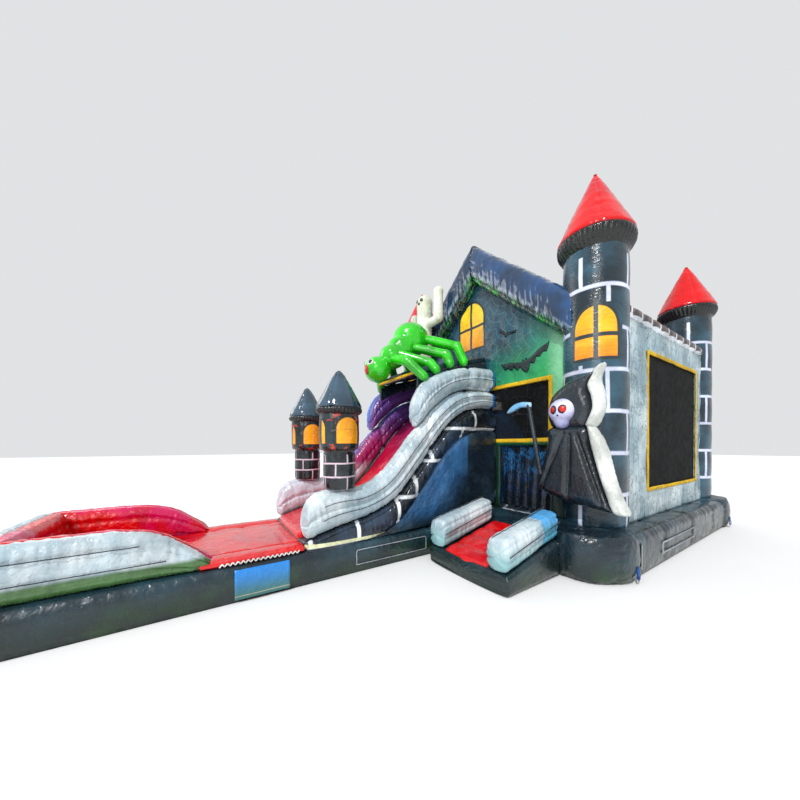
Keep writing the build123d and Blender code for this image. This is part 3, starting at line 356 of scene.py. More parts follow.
def make_mesh(name, verts, faces, uvs, material):
    """A smooth-shaded object from plain lists, with a UV map in metres."""
    mesh = bpy.data.meshes.new(name)
    mesh.from_pydata(verts, [], faces)
    if uvs is not None:
        layer = mesh.uv_layers.new(name="UVMap")
        layer.data.foreach_set("uv", np.asarray(uvs, np.float32).ravel())
    mesh.materials.append(material)
    mesh.shade_smooth()
    made = bpy.data.objects.new(name, mesh)
    bpy.context.scene.collection.objects.link(made)
    return made


def normals_of(rings):
    """Outward directions at the points of a tube's rings."""
    along = np.gradient(rings, axis=0)
    around = np.roll(rings, -1, axis=1) - np.roll(rings, 1, axis=1)
    normal = np.cross(around, along)
    length = np.linalg.norm(normal, axis=-1, keepdims=True)
    normal = normal / np.maximum(length, 1e-9)
    middle = rings.mean(axis=1, keepdims=True)
    return -normal if ((rings - middle) * normal).sum() < 0 else normal


def rings_mesh(name, rings, material, capped=True):
    """A closed tube from rings of points, its ends drawn to a point, with UVs in metres."""
    count, around = rings.shape[:2]
    step_s = np.linalg.norm(np.diff(rings, axis=0), axis=-1).mean(axis=1)
    along = np.concatenate([[0], np.cumsum(step_s)])
    middle_ring = rings[count // 2]
    step_t = np.linalg.norm(np.roll(middle_ring, -1, axis=0) - middle_ring, axis=-1)
    across = np.concatenate([[0], np.cumsum(step_t)])
    s = np.arange(count - 1)[:, None]
    t = np.arange(around)[None, :]
    t1 = (t + 1) % around
    quads = np.stack([s * around + t, s * around + t1, (s + 1) * around + t1, (s + 1) * around + t], -1)
    u0, u1 = np.broadcast_to(across[:-1], quads.shape[:2]), np.broadcast_to(across[1:], quads.shape[:2])
    v0 = np.broadcast_to(along[:-1, None], quads.shape[:2])
    v1 = np.broadcast_to(along[1:, None], quads.shape[:2])
    uvs = np.stack([u0, v0, u1, v0, u1, v1, u0, v1], -1).reshape(-1, 2)
    quads = quads.reshape(-1, 4)
    verts = rings.reshape(-1, 3)
    inner = verts.reshape(count, around, 3)
    test = np.cross(
        inner[count // 2, 1] - inner[count // 2, 0], inner[count // 2 + 1, 0] - inner[count // 2, 0]
    )
    outward = (test * (inner[count // 2, 0] - inner[count // 2].mean(axis=0))).sum() > 0
    faces = quads.tolist()
    verts = verts.tolist()
    uvs = uvs.tolist()
    if capped:
        for ring, end in ((0, 0), (count - 1, 1)):
            centre = len(verts)
            verts.append(rings[ring].mean(axis=0).tolist())
            for k in range(around):
                a, b = ring * around + k, ring * around + (k + 1) % around
                faces.append([b, a, centre] if end == 0 else [a, b, centre])
                uvs.extend([[across[k], along[ring]]] * 3)
    if not outward:
        index = 0
        turned = []
        for face in faces:
            n = len(face)
            turned.extend(uvs[index : index + n][::-1])
            index += n
        uvs = turned
        faces = [face[::-1] for face in faces]
    return make_mesh(name, verts, faces, uvs, material)


def dome_shares(length, radius, step, power=2.4):
    """Stations along a tube from 0 to 1, and how far its section has opened at each."""
    count = max(8, int(length / step))
    radius = min(radius, length * 0.45)
    ends = radius * (1 - np.cos(np.linspace(0, math.pi / 2, 9)))
    places = np.concatenate([ends, np.linspace(radius, length - radius, count)[1:-1], (length - ends)[::-1]])
    near = np.minimum(places, length - places)
    open_share = np.where(
        near < radius, (1 - (1 - np.clip(near / radius, 0, 1)) ** power) ** (1 / power), 1.0
    )
    return places / length, np.maximum(open_share, 0.02)


def gather(along, away, pitch, reach, seed):
    """Puckers that run out from a seam and die away from it, 0 to 1."""
    spread = np.stack([along / pitch, away / (reach * 2.5), np.zeros_like(along)], -1)
    coarse = 1 - np.abs(rough_field(spread, 1.0, seed)) * 1.6
    fine = 0.5 + 0.5 * rough_field(spread * np.array([2.1, 1.4, 1.0]), 1.0, seed + 5)
    return (coarse * 0.6 + fine * 0.4) * np.exp(-away / reach)


def section(turns, power):
    """A rounded-square section, as points spaced evenly round its edge, starting at the bottom."""
    angle = np.linspace(0, TAU, 1440, endpoint=False) - math.pi / 2
    c, s = np.cos(angle), np.sin(angle)
    x = np.sign(c) * np.abs(c) ** (2 / power)
    y = np.sign(s) * np.abs(s) ** (2 / power)
    run = np.concatenate([[0], np.cumsum(np.hypot(np.diff(x), np.diff(y)))])
    want = np.linspace(0, run[-1], turns, endpoint=False)
    return np.interp(want, run, x), np.interp(want, run, y)


def chamber(
    name, low, high, side, material, power=3.2, dome=0.1, turns=None, step=MESH_STEP,
    seams=(0.125, 0.375, 0.625, 0.875), pitch=0.05, reach=0.07, depth=0.012, ribs=(), rib_depth=0.02,
    crumple=0.003, seed=1, shape=None, flat_low=False
):
    """An inflated tube between a lower and an upper line, with sewn seams along it and ties across it.

    low and high are lists of points, side is half of the tube's width as a vector, seams are shares
    of the way round from the middle of the underside, and ribs are places along it, in metres."""
    low, high = np.asarray(low, float), np.asarray(high, float)
    length = np.linalg.norm(np.diff((smooth_line(low, 60) + smooth_line(high, 60)) / 2, axis=0), axis=1).sum()
    shares, opened = dome_shares(length, dome, step)
    fine = 400
    base_low, base_high = smooth_line(low, fine), smooth_line(high, fine)
    pick = np.linspace(0, 1, fine)
    lows = np.stack([np.interp(shares, pick, base_low[:, k]) for k in range(3)], -1)
    highs = np.stack([np.interp(shares, pick, base_high[:, k]) for k in range(3)], -1)
    side = np.asarray(side, float)
    height = np.linalg.norm(highs - lows, axis=1).mean()
    girth = 2 * (height + 2 * np.linalg.norm(side)) * 0.9
    turns = turns or int(np.clip(girth / step, 24, 150))
    sx, sy = section(turns, power)
    middle = (lows + highs) / 2
    half = (highs - lows) / 2
    open_low = opened if not flat_low else np.ones_like(opened)
    lift = np.where(sy[None, :] < 0, open_low[:, None], opened[:, None]) * sy[None, :]
    rings = middle[:, None, :] + half[:, None, :] * lift[..., None]
    rings = rings + side[None, None, :] * (sx[None, :] * opened[:, None])[..., None]
    normal = normals_of(rings)
    s = np.broadcast_to((shares * length)[:, None], rings.shape[:2])
    around = np.arange(turns) / turns
    move = np.zeros(rings.shape[:2])
    for i, at in enumerate(seams):
        gap = np.abs((around - at + 0.5) % 1 - 0.5) * girth
        gap = np.broadcast_to(gap[None, :], move.shape)
        move -= depth * gather(s, gap, pitch, reach, seed + i)
        move -= depth * 0.6 * np.exp(-((gap / 0.014) ** 2))
    for i, at in enumerate(ribs):
        gap = np.abs(s - at)
        turn = np.broadcast_to((around * girth)[None, :], move.shape)
        move -= rib_depth * np.exp(-((gap / 0.05) ** 2)) + depth * gather(
            turn, gap, pitch, reach, seed + 31 + i
        )
    for end in (0.0, length):
        gap = np.abs(s - end)
        turn = np.broadcast_to((around * girth)[None, :], move.shape)
        move -= depth * 0.8 * gather(turn, gap, pitch, reach, seed + 61)
    move += crumple * rough_field(rings, 9.0, seed + 7) + crumple * 0.5 * rough_field(rings, 22.0, seed + 8)
    if shape is not None:
        move += shape(rings, s)
    if flat_low:
        move = np.where((sy[None, :] < -0.8), 0.0, move)
    rings = rings + normal * move[..., None] * np.minimum(opened * 1.5, 1.0)[:, None, None]
    return rings_mesh(name, rings, material)


def turned(
    name, centre, profile, material, turns=120, seams=0, pleats=None, crumple=0.003, depth=0.012, edges=(),
    pitch=0.05, reach=0.08, seed=3, start=0.0
):
    """A shape turned about an upright axis from (radius, height) points, with seams up its sides.

    pleats is (count, depth, low, high): folds round a band between two heights. edges are heights of
    sewn rings that the skin puckers away from."""
    line = smooth_line(profile, max(12, int(np.linalg.norm(np.diff(profile, axis=0), axis=1).sum() / 0.02)))
    radius, height = line[:, 0], line[:, 1]
    angle = start + np.linspace(0, TAU, turns, endpoint=False)
    rings = np.stack(
        [
            centre[0] + radius[:, None] * np.cos(angle), centre[1] + radius[:, None] * np.sin(angle),
            np.broadcast_to(height[:, None], (len(line), turns))
        ],
        -1
    )
    normal = normals_of(rings)
    run = radius[:, None] * (angle - start)[None, :]
    tall = np.broadcast_to(height[:, None], run.shape)
    move = crumple * rough_field(rings, 9.0, seed) + crumple * 0.5 * rough_field(rings, 24.0, seed + 1)
    for i in range(seams):
        away = np.abs(
            (angle - start - TAU * (i + 0.5) / seams + math.pi) % TAU - math.pi
        )[None, :] * radius[:, None]
        move = move - depth * gather(tall, away, pitch, reach, seed + i) - 0.005 * np.exp(
            -((away / 0.012) ** 2)
        )
    for i, at in enumerate(edges):
        move = move - depth * 1.3 * gather(run, np.abs(tall - at), pitch, reach, seed + 20 + i)
    if pleats:
        count, fold, low, high = pleats
        band = np.clip((tall - low) / 0.02, 0, 1) * np.clip((high - tall) / 0.02, 0, 1)
        jitter = rough_field(rings, 6.0, seed + 9) * 1.6
        move = move - fold * band * (0.5 + 0.5 * np.sin(count * angle[None, :] + jitter))
    rings = rings + normal * move[..., None]
    return rings_mesh(name, rings, material)


def join(name, *pieces):
    """One object from several, with their materials kept."""
    verts, faces, uvs, slots, mats = [], [], [], [], []
    for piece in pieces:
        mesh = piece.data
        base = len(verts)
        verts.extend([tuple(v.co) for v in mesh.vertices])
        local = []
        for material in mesh.materials:
            if material not in mats:
                mats.append(material)
            local.append(mats.index(material))
        layer = mesh.uv_layers.active
        flat = np.zeros(len(mesh.loops) * 2, np.float32)
        if layer:
            layer.data.foreach_get("uv", flat)
        uvs.append(flat)
        for polygon in mesh.polygons:
            faces.append([base + i for i in polygon.vertices])
            slots.append(local[polygon.material_index])
        bpy.data.objects.remove(piece)
    mesh = bpy.data.meshes.new(name)
    mesh.from_pydata(verts, [], faces)
    mesh.uv_layers.new(name="UVMap").data.foreach_set("uv", np.concatenate(uvs))
    for material in mats:
        mesh.materials.append(material)
    mesh.polygons.foreach_set("material_index", slots)
    mesh.shade_smooth()
    made = bpy.data.objects.new(name, mesh)
    bpy.context.scene.collection.objects.link(made)
    return made


def settle(piece, nodes=()):
    """Puts a finished piece on the house, in place of its CAD nodes."""
    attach(piece, HOUSE)
    if nodes:
        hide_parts(*nodes)


def baked(piece):
    """The piece with its modifiers worked out, as a plain mesh of the same name."""
    bpy.context.view_layer.update()
    graph = bpy.context.evaluated_depsgraph_get()
    mesh = bpy.data.meshes.new_from_object(piece.evaluated_get(graph))
    name = piece.name
    old = piece.data
    bpy.data.objects.remove(piece)
    if old.users == 0:
        bpy.data.meshes.remove(old)
    mesh.name = name
    made = bpy.data.objects.new(name, mesh)
    bpy.context.scene.collection.objects.link(made)
    return made


def panel(name, us, vs, place, material, thick, skip=None, move=None):
    """A flat panel of film on a grid, with openings left out, given its thickness to both sides."""
    grid_u, grid_v = np.meshgrid(us, vs, indexing="ij")
    lift = np.zeros_like(grid_u) if move is None else move(grid_u, grid_v)
    points = np.stack(place(grid_u, grid_v, lift), -1)
    n_v = len(vs)
    faces, uvs = [], []
    for i in range(len(us) - 1):
        for k in range(n_v - 1):
            if skip is not None and skip((us[i] + us[i + 1]) / 2, (vs[k] + vs[k + 1]) / 2):
                continue
            faces.append([i * n_v + k, (i + 1) * n_v + k, (i + 1) * n_v + k + 1, i * n_v + k + 1])
            uvs.extend([[us[i], vs[k]], [us[i + 1], vs[k]], [us[i + 1], vs[k + 1]], [us[i], vs[k + 1]]])
    made = make_mesh(name, points.reshape(-1, 3).tolist(), faces, uvs, material)
    solid = made.modifiers.new("Thickness", "SOLIDIFY")
    solid.thickness = thick
    solid.offset = 0.0
    return clear_loose(baked(made))


def clear_loose(piece):
    """Drops points that no face uses."""
    mesh = piece.data
    used = np.zeros(len(mesh.vertices), bool)
    index = np.zeros(len(mesh.loops), np.int32)
    mesh.loops.foreach_get("vertex_index", index)
    used[index] = True
    if used.all():
        return piece
    work = bmesh.new()
    work.from_mesh(mesh)
    work.verts.ensure_lookup_table()
    bmesh.ops.delete(work, geom=[v for v in work.verts if not used[v.index]], context="VERTS")
    work.to_mesh(mesh)
    work.free()
    return piece


def spaced(low, high, step, stops=()):
    """Grid lines from low to high that include every stop."""
    marks = sorted({low, high, *[s for s in stops if low < s < high]})
    runs = [np.linspace(a, b, max(2, int(round((b - a) / step)) + 1))[:-1] for a, b in zip(marks, marks[1:])]
    return np.concatenate([*runs, [high]])


def edge_distance(points, outline):
    """Distance from each 2-D point to a closed outline."""
    best = np.full(len(points), 1e9)
    for start, end in zip(outline, np.roll(outline, -1, axis=0)):
        run = end - start
        share = np.clip(((points - start) @ run) / max(run @ run, 1e-12), 0, 1)
        best = np.minimum(best, np.linalg.norm(points - start - share[:, None] * run, axis=1))
    return best


def inside_outline(points, outline):
    """Whether each 2-D point is inside a closed outline."""
    inside = np.zeros(len(points), bool)
    for (x0, y0), (x1, y1) in zip(outline, np.roll(outline, -1, axis=0)):
        crosses = (y0 > points[:, 1]) != (y1 > points[:, 1])
        slope = (x1 - x0) / (y1 - y0 if y1 != y0 else 1e-12)
        inside ^= crosses & (points[:, 0] < (points[:, 1] - y0) * slope + x0)
    return inside


def puffed(
    name, outline, y_middle, half, material, step=0.02, shoulder=0.12, seams=(), seed=1, depth=0.012,
    curved=True
):
    """A flat inflated figure in the X-Z plane: two skins sewn along an outline and along inner seams."""
    closed = np.asarray([*outline, outline[0]], float)
    if curved:
        edge = smooth_line(
            closed, max(40, int(np.linalg.norm(np.diff(closed, axis=0), axis=1).sum() / step))
        )[:-1]
    else:
        edge = np.concatenate(
            [
                np.linspace(a, b, max(2, int(np.linalg.norm(b - a) / step)), endpoint=False) for a,
                b in zip(closed, closed[1:])
            ]
        )
    low, high = edge.min(axis=0), edge.max(axis=0)
    xs = np.arange(low[0], high[0], step)
    zs = np.arange(low[1], high[1], step)
    grid = np.stack(np.meshgrid(xs, zs, indexing="ij"), -1).reshape(-1, 2)
    grid[:, 0] += (np.round((grid[:, 1] - low[1]) / step) % 2) * step * 0.5
    grid = grid[inside_outline(grid, edge)]
    grid = grid[edge_distance(grid, edge) > step * 0.6]
    points = np.vstack([edge, grid])
    count = len(edge)
    loops = [(i, (i + 1) % count) for i in range(count)]
    verts, _, faces, *_ = delaunay_2d_cdt([Vector(p) for p in points], loops, [list(range(count))], 1, 1e-6)
    flat = np.array([tuple(v) for v in verts])
    away = edge_distance(flat, edge)
    open_share = np.sqrt(np.clip(1 - (1 - np.clip(away / shoulder, 0, 1)) ** 2, 0, 1))
    for line in seams:
        line = np.asarray(line, float)
        near = np.full(len(flat), 1e9)
        for start, end in zip(line, line[1:]):
            run = end - start
            share = np.clip(((flat - start) @ run) / (run @ run), 0, 1)
            near = np.minimum(near, np.linalg.norm(flat - start - share[:, None] * run, axis=1))
        open_share = open_share * (
            0.45 + 0.55 * np.sqrt(np.clip(1 - (1 - np.clip(near / 0.07, 0, 1)) ** 2, 0, 1))
        )
    angle = np.arctan2(flat[:, 1] - flat[:, 1].mean(), flat[:, 0] - flat[:, 0].mean())
    folds = gather(angle * 0.6, away, 0.045, 0.07, seed)
    puff = half * open_share - depth * folds * np.clip(away / 0.03, 0, 1)
    puff = puff + 0.004 * rough_field(
        np.column_stack([flat, np.zeros(len(flat))]), 9.0, seed
    ) * np.clip(away / 0.05, 0, 1)
    puff = np.maximum(puff, 0.0)
    on_edge = away < 1e-5
    front = np.column_stack([flat[:, 0], y_middle - puff, flat[:, 1]])
    back_index = np.full(len(flat), -1)
    back_index[~on_edge] = len(flat) + np.arange((~on_edge).sum())
    back_index[on_edge] = np.flatnonzero(on_edge)
    back = np.column_stack([flat[:, 0], y_middle + puff, flat[:, 1]])[~on_edge]
    every = np.vstack([front, back])
    made_faces = []
    for face in faces:
        face = list(face)
        a, b, c = (flat[i] for i in face[:3])
        turn = (b[0] - a[0]) * (c[1] - a[1]) - (b[1] - a[1]) * (c[0] - a[0])
        if turn < 0:
            face = face[::-1]
        made_faces.append(face)
        made_faces.append([int(back_index[i]) for i in face[::-1]])
    uvs = [[every[i][0], every[i][2]] for face in made_faces for i in face]
    return make_mesh(name, every.tolist(), made_faces, uvs, material)


def blob(name, balls, material, voxel=0.012, smooth=3, wrinkle=0.003, seed=1, seams=()):
    """One closed skin over overlapping balls and bars, puckered along given lines.

    balls are (centre, radius or radii, end) with end None for a ball."""
    work = bmesh.new()
    for centre, size, end in balls:
        radii = (size, size, size) if isinstance(size, (int, float)) else size
        if end is None:
            made = bmesh.ops.create_uvsphere(work, u_segments=40, v_segments=24, radius=1.0)
            for vert in made["verts"]:
                vert.co = Vector(centre) + Vector([vert.co[k] * radii[k] for k in range(3)])
        else:
            run = Vector(end) - Vector(centre)
            made = bmesh.ops.create_cone(
                work, cap_ends=True, segments=28, radius1=radii[0], radius2=radii[1], depth=run.length
            )
            turn = run.to_track_quat("Z", "Y").to_matrix()
            for vert in made["verts"]:
                vert.co = turn @ vert.co + (Vector(centre) + Vector(end)) / 2
    mesh = bpy.data.meshes.new(name)
    work.to_mesh(mesh)
    work.free()
    mesh.materials.append(material)
    made = bpy.data.objects.new(name, mesh)
    bpy.context.scene.collection.objects.link(made)
    remesh = made.modifiers.new("Skin", "REMESH")
    remesh.mode = "VOXEL"
    remesh.voxel_size = voxel
    relax = made.modifiers.new("Relax", "SMOOTH")
    relax.factor = 0.8
    relax.iterations = smooth * 4
    made = baked(made)
    mesh = made.data
    count = len(mesh.vertices)
    places, normals = np.zeros(count * 3), np.zeros(count * 3)
    mesh.vertices.foreach_get("co", places)
    mesh.vertices.foreach_get("normal", normals)
    places, normals = places.reshape(-1, 3), normals.reshape(-1, 3)
    move = wrinkle * (rough_field(places, 9.0, seed) + 0.5 * rough_field(places, 24.0, seed + 1))
    for line, reach in seams:
        line = np.asarray(line, float)
        near, along, total = np.full(count, 1e9), np.zeros(count), 0.0
        for start, end in zip(line, line[1:]):
            run = end - start
            share = np.clip(((places - start) @ run) / (run @ run), 0, 1)
            gap = np.linalg.norm(places - start - share[:, None] * run, axis=1)
            along = np.where(gap < near, total + share * np.linalg.norm(run), along)
            near = np.minimum(near, gap)
            total += np.linalg.norm(run)
        move = move - 0.012 * gather(along, near, 0.04, reach, seed + 3) - 0.008 * np.exp(
            -((near / 0.014) ** 2)
        )
    mesh.vertices.foreach_set("co", (places + normals * move[:, None]).ravel())
    mesh.materials.clear()
    mesh.materials.append(material)
    mesh.shade_smooth()
    return made


# ---------------------------------------------------------------- geometry node trees


class Rig(Graph):
    """A geometry node tree with named inputs, run once on a piece and then made a plain mesh."""

    def __init__(self, name, sizes):
        """Starts a tree of geometry nodes with these inputs."""
        super().__init__(bpy.data.node_groups.new(name, "GeometryNodeTree"))
        face = self.tree.interface
        face.new_socket("Geometry", in_out="INPUT", socket_type="NodeSocketGeometry")
        self.keys = {}
        for label, kind, value in sizes:
            socket = face.new_socket(label, in_out="INPUT", socket_type=kind)
            if value is not None:
                socket.default_value = value
            self.keys[label] = socket.identifier
        face.new_socket("Geometry", in_out="OUTPUT", socket_type="NodeSocketGeometry")
        self.way_in = self.node("NodeGroupInput")
        self.way_out = self.node("NodeGroupOutput")

    def given(self, label):
        """One of the inputs."""
        return Field(self, self.way_in.outputs[label])

    def close(self, geometry):
        """Ends the tree: instances made real, then the material."""
        real = self.node("GeometryNodeRealizeInstances", {"Geometry": geometry})
        smooth = self.node("GeometryNodeSetShadeSmooth", {"Geometry": real.outputs[0]})
        painted = self.node(
            "GeometryNodeSetMaterial", {"Geometry": smooth.outputs[0], "Material": self.given("Material")}
        )
        self.tree.links.new(painted.outputs[0], self.way_out.inputs[0])

    def grow(self, name, mesh, **values):
        """Runs the tree on a mesh and gives the result as a plain piece."""
        holder = bpy.data.objects.new(name, mesh)
        bpy.context.scene.collection.objects.link(holder)
        modifier = holder.modifiers.new("Grow", "NODES")
        modifier.node_group = self.tree
        for label, value in values.items():
            modifier[self.keys[label.replace("_", " ")]] = value
        return baked(holder)


def line_mesh(name, lines):
    """Loose polylines as a mesh of edges."""
    verts, edges = [], []
    for line in lines:
        base = len(verts)
        verts.extend([tuple(p) for p in line])
        edges.extend([(base + i, base + i + 1) for i in range(len(line) - 1)])
    mesh = bpy.data.meshes.new(name)
    mesh.from_pydata(verts, edges, [])
    return mesh


def bead_rig():
    """A bead, cord or thread along each line of a mesh."""
    rig = Rig(
        "Bead along lines",
        [
            ("Radius", "NodeSocketFloat", 0.006), ("Sides", "NodeSocketInt", 6),
            ("Pitch", "NodeSocketFloat", 0.03), ("Waver", "NodeSocketFloat", 0.0),
            ("Material", "NodeSocketMaterial", None)
        ]
    )
    curve = rig.node("GeometryNodeMeshToCurve", {"Mesh": rig.way_in.outputs["Geometry"]})
    even = rig.node("GeometryNodeResampleCurve", {"Curve": curve.outputs[0]})
    even.mode = "LENGTH"
    rig.feed(even.inputs["Length"], rig.given("Pitch"))
    place = rig.node("GeometryNodeInputPosition")
    drift = rig.node("ShaderNodeTexNoise", {"Vector": place.outputs[0], "Scale": 23.0, "Detail": 1.0})
    x, y, z = rig.parts(drift.outputs["Color"])
    waver = rig.given("Waver")
    shift = rig.vector((x - 0.5) * waver, (y - 0.5) * waver, (z - 0.5) * waver)
    moved = rig.node("GeometryNodeSetPosition", {"Geometry": even.outputs[0], "Offset": shift})
    ring = rig.node(
        "GeometryNodeCurvePrimitiveCircle", {"Resolution": rig.given("Sides"), "Radius": rig.given("Radius")},
        mode="RADIUS"
    )
    swept = rig.node(
        "GeometryNodeCurveToMesh",
        {"Curve": moved.outputs[0], "Profile Curve": ring.outputs[0], "Fill Caps": True}
    )
    rig.close(swept.outputs[0])
    return rig


def stitch_rig():
    """Short stitches set end to end along each line of a mesh."""
    rig = Rig(
        "Stitches along lines",
        [
            ("Pitch", "NodeSocketFloat", 0.016), ("Length", "NodeSocketFloat", 0.009),
            ("Thickness", "NodeSocketFloat", 0.0022), ("Material", "NodeSocketMaterial", None)
        ]
    )
    curve = rig.node("GeometryNodeMeshToCurve", {"Mesh": rig.way_in.outputs["Geometry"]})
    points = rig.node(
        "GeometryNodeCurveToPoints", {"Curve": curve.outputs[0], "Length": rig.given("Pitch")}, mode="LENGTH"
    )
    size = rig.vector(rig.given("Thickness"), rig.given("Thickness"), rig.given("Length"))
    thread = rig.node("GeometryNodeMeshIcoSphere", {"Radius": 0.5, "Subdivisions": 1})
    placed = rig.node(
        "GeometryNodeInstanceOnPoints",
        {
            "Points": points.outputs[0], "Instance": thread.outputs[0],
            "Rotation": points.outputs["Rotation"], "Scale": size
        }
    )
    rig.close(placed.outputs[0])
    return rig


def row_rig():
    """Copies of one piece set on the points of a mesh, each a little different in size."""
    rig = Rig(
        "Pieces on points",
        [
            ("Piece", "NodeSocketObject", None), ("Least size", "NodeSocketFloat", 0.92),
            ("Most size", "NodeSocketFloat", 1.06), ("Seed", "NodeSocketInt", 4),
            ("Material", "NodeSocketMaterial", None)
        ]
    )
    info = rig.node("GeometryNodeObjectInfo", {"Object": rig.given("Piece")}, transform_space="ORIGINAL")
    size = rig.node("FunctionNodeRandomValue", data_type="FLOAT")
    rig.feed(size.inputs[2], rig.given("Least size"))
    rig.feed(size.inputs[3], rig.given("Most size"))
    rig.feed(size.inputs["Seed"], rig.given("Seed"))
    placed = rig.node(
        "GeometryNodeInstanceOnPoints",
        {
            "Points": rig.way_in.outputs["Geometry"], "Instance": info.outputs["Geometry"],
            "Scale": size.outputs[1]
        }
    )
    rig.close(placed.outputs[0])
    return rig


def shell_rig():
    """A tower's skin: a sheet wrapped to a tube, pinched at each course and puckered at both ends."""
    sizes = [
        ("Middle", "NodeSocketVector", (0.0, 0.0, 0.0)), ("Radius", "NodeSocketFloat", 0.37),
        ("Foot", "NodeSocketFloat", 0.5), ("Top", "NodeSocketFloat", 3.95),
        ("Belly", "NodeSocketFloat", 0.006), ("Course", "NodeSocketFloat", 0.5),
        ("Pucker", "NodeSocketFloat", 0.014), ("Reach", "NodeSocketFloat", 0.11),
        ("Crumple", "NodeSocketFloat", 0.006), ("Seed", "NodeSocketFloat", 1.0),
        ("Turn", "NodeSocketFloat", 0.0), ("Columns", "NodeSocketInt", 121), ("Rows", "NodeSocketInt", 141),
        ("Material", "NodeSocketMaterial", None)
    ]
    rig = Rig("Tower skin", sizes)
    given = rig.given
    sheet = rig.node(
        "GeometryNodeMeshGrid",
        {"Size X": 1.0, "Size Y": 1.0, "Vertices X": given("Columns"), "Vertices Y": given("Rows")}
    )
    place = rig.node("GeometryNodeInputPosition")
    x, y, _ = rig.parts(place.outputs[0])
    share, rise = x + 0.5, y + 0.5
    wrap = share * TAU
    angle = wrap + given("Turn")
    height = given("Foot") + rise * (given("Top") - given("Foot"))
    uv = rig.vector(wrap * given("Radius"), height, 0.0)
    cos, sin = rig.math("COSINE", angle), rig.math("SINE", angle)
    seed = given("Seed")
    belly = ((height - 0.41) / given("Course") * math.pi).wave().size() * given("Belly")
    close_end = (height - given("Foot")).upto(given("Top") - height)
    fade = rig.math("EXPONENT", close_end / given("Reach") * -1.0)
    folds = rig.noise(rig.vector(cos * 9.0 + seed, sin * 9.0, close_end * 1.6), 1.0, 2.0)
    creases = rig.noise(rig.vector(cos * 1.1, sin * 1.1 + seed * 3.0, height * 2.1), 2.4, 3.0)
    radius = given("Radius") + belly - fade * folds * given("Pucker") + (creases - 0.5) * given("Crumple")
    inward = close_end.below(0.012, 0.012)
    radius = radius * (1.0 - inward * 0.06)
    mx, my, _ = rig.parts(given("Middle").socket)
    stored = rig.node(
        "GeometryNodeStoreNamedAttribute", {"Geometry": sheet.outputs[0], "Name": "UVMap", "Value": uv},
        data_type="FLOAT2", domain="CORNER"
    )
    spot = rig.vector(mx + cos * radius, my + sin * radius, height)
    wrapped = rig.node("GeometryNodeSetPosition", {"Geometry": stored.outputs[0], "Position": spot})
    welded = rig.node("GeometryNodeMergeByDistance", {"Geometry": wrapped.outputs[0], "Distance": 0.0005})
    flipped = rig.node("GeometryNodeFlipFaces", {"Mesh": welded.outputs[0]})
    rig.close(flipped.outputs[0])
    return rig


# ---------------------------------------------------------------- sizes, colours and materials


def tone(label, text, value):
    """A colour that a user can change."""
    return FloatVectorProperty(
        name=label, description=text, default=value, subtype="COLOR", size=3, min=0.0, max=1.0
    )


def length(label, text, value):
    """A length that a user can change, in metres."""
    return FloatProperty(name=label, description=text, default=value, unit="LENGTH", min=0.0)


class BounceSizes(bpy.types.PropertyGroup):
    """Sizes that a user can change."""
    pucker: length("Pucker depth", "How deep the skin puckers beside a seam", 0.019)
    reach: length("Pucker reach", "How far the puckers run out from a seam", 0.085)
    crumple: length("Crumple", "Height of the loose folds in wall film", 0.012)
    mortar: length("Mortar line", "Width of the printed mortar lines", 0.046)
    net_pitch: length("Net pitch", "Spacing of the net's threads", 0.0185)
    net_thread: length("Net thread", "Thickness of the net's threads", 0.0085)
    border: length("Net border", "Width of the webbing round each net", 0.055)
    stitch_pitch: length("Stitch pitch", "Spacing of the stitches along a seam", 0.02)
    gores: IntProperty(name="Roof gores", description="Sewn panels in each tower roof", default=5, min=3)
    pleats: IntProperty(
        name="Collar pleats", description="Folds round each tower's collar", default=46, min=8
    )


class BounceColours(bpy.types.PropertyGroup):
    """Colours that a user can change."""
    night: tone("Night", "Towers, base and pool sides", (0.006, 0.018, 0.028))
    mortar: tone("Mortar", "Printed mortar lines", (0.66, 0.70, 0.88))
    red: tone("Red", "Roofs, slide lane and pool", (0.66, 0.0, 0.002))
    pale: tone("Pale", "Side bolsters", (0.36, 0.48, 0.54))
    blue: tone("Blue", "Bolster ends and trim", (0.03, 0.22, 0.62))
    stone: tone("Stone", "Side walls", (0.22, 0.36, 0.42))
    gable: tone("Gable", "Gable beams", (0.004, 0.028, 0.075))
    leaf: tone("Leaf", "Spider and front print", (0.02, 0.62, 0.004))
    amber: tone("Amber", "Lit windows", (0.98, 0.50, 0.01))
    yellow: tone("Yellow", "Webbing round the nets", (0.86, 0.56, 0.01))


def sizes():
    """The scene's sizes."""
    return bpy.context.scene.bounce_sizes


def colour_of(name):
    """One of the scene's colours, by name."""
    return tuple(getattr(bpy.context.scene.bounce_colours, name))


def as_colour(value):
    """A colour, given as itself or as the name of one that a user can change."""
    return colour_of(value) if isinstance(value, str) else value


LOOKS = {}
LOOK_MAKERS = {}
SEAMS = {"dark": [], "pale": []}
SHADE = 0.55  # a vinyl's second tone, where none is given


def kept(name):
    """Keeps a function that paints a material under the material's name."""

    def keep(maker):
        LOOK_MAKERS[name] = maker
        return maker

    return keep


def look(name):
    """A named material, made the first time it is asked for."""
    if name not in LOOKS:
        LOOKS[name] = LOOK_MAKERS[name](Paint(name))
    return LOOKS[name]


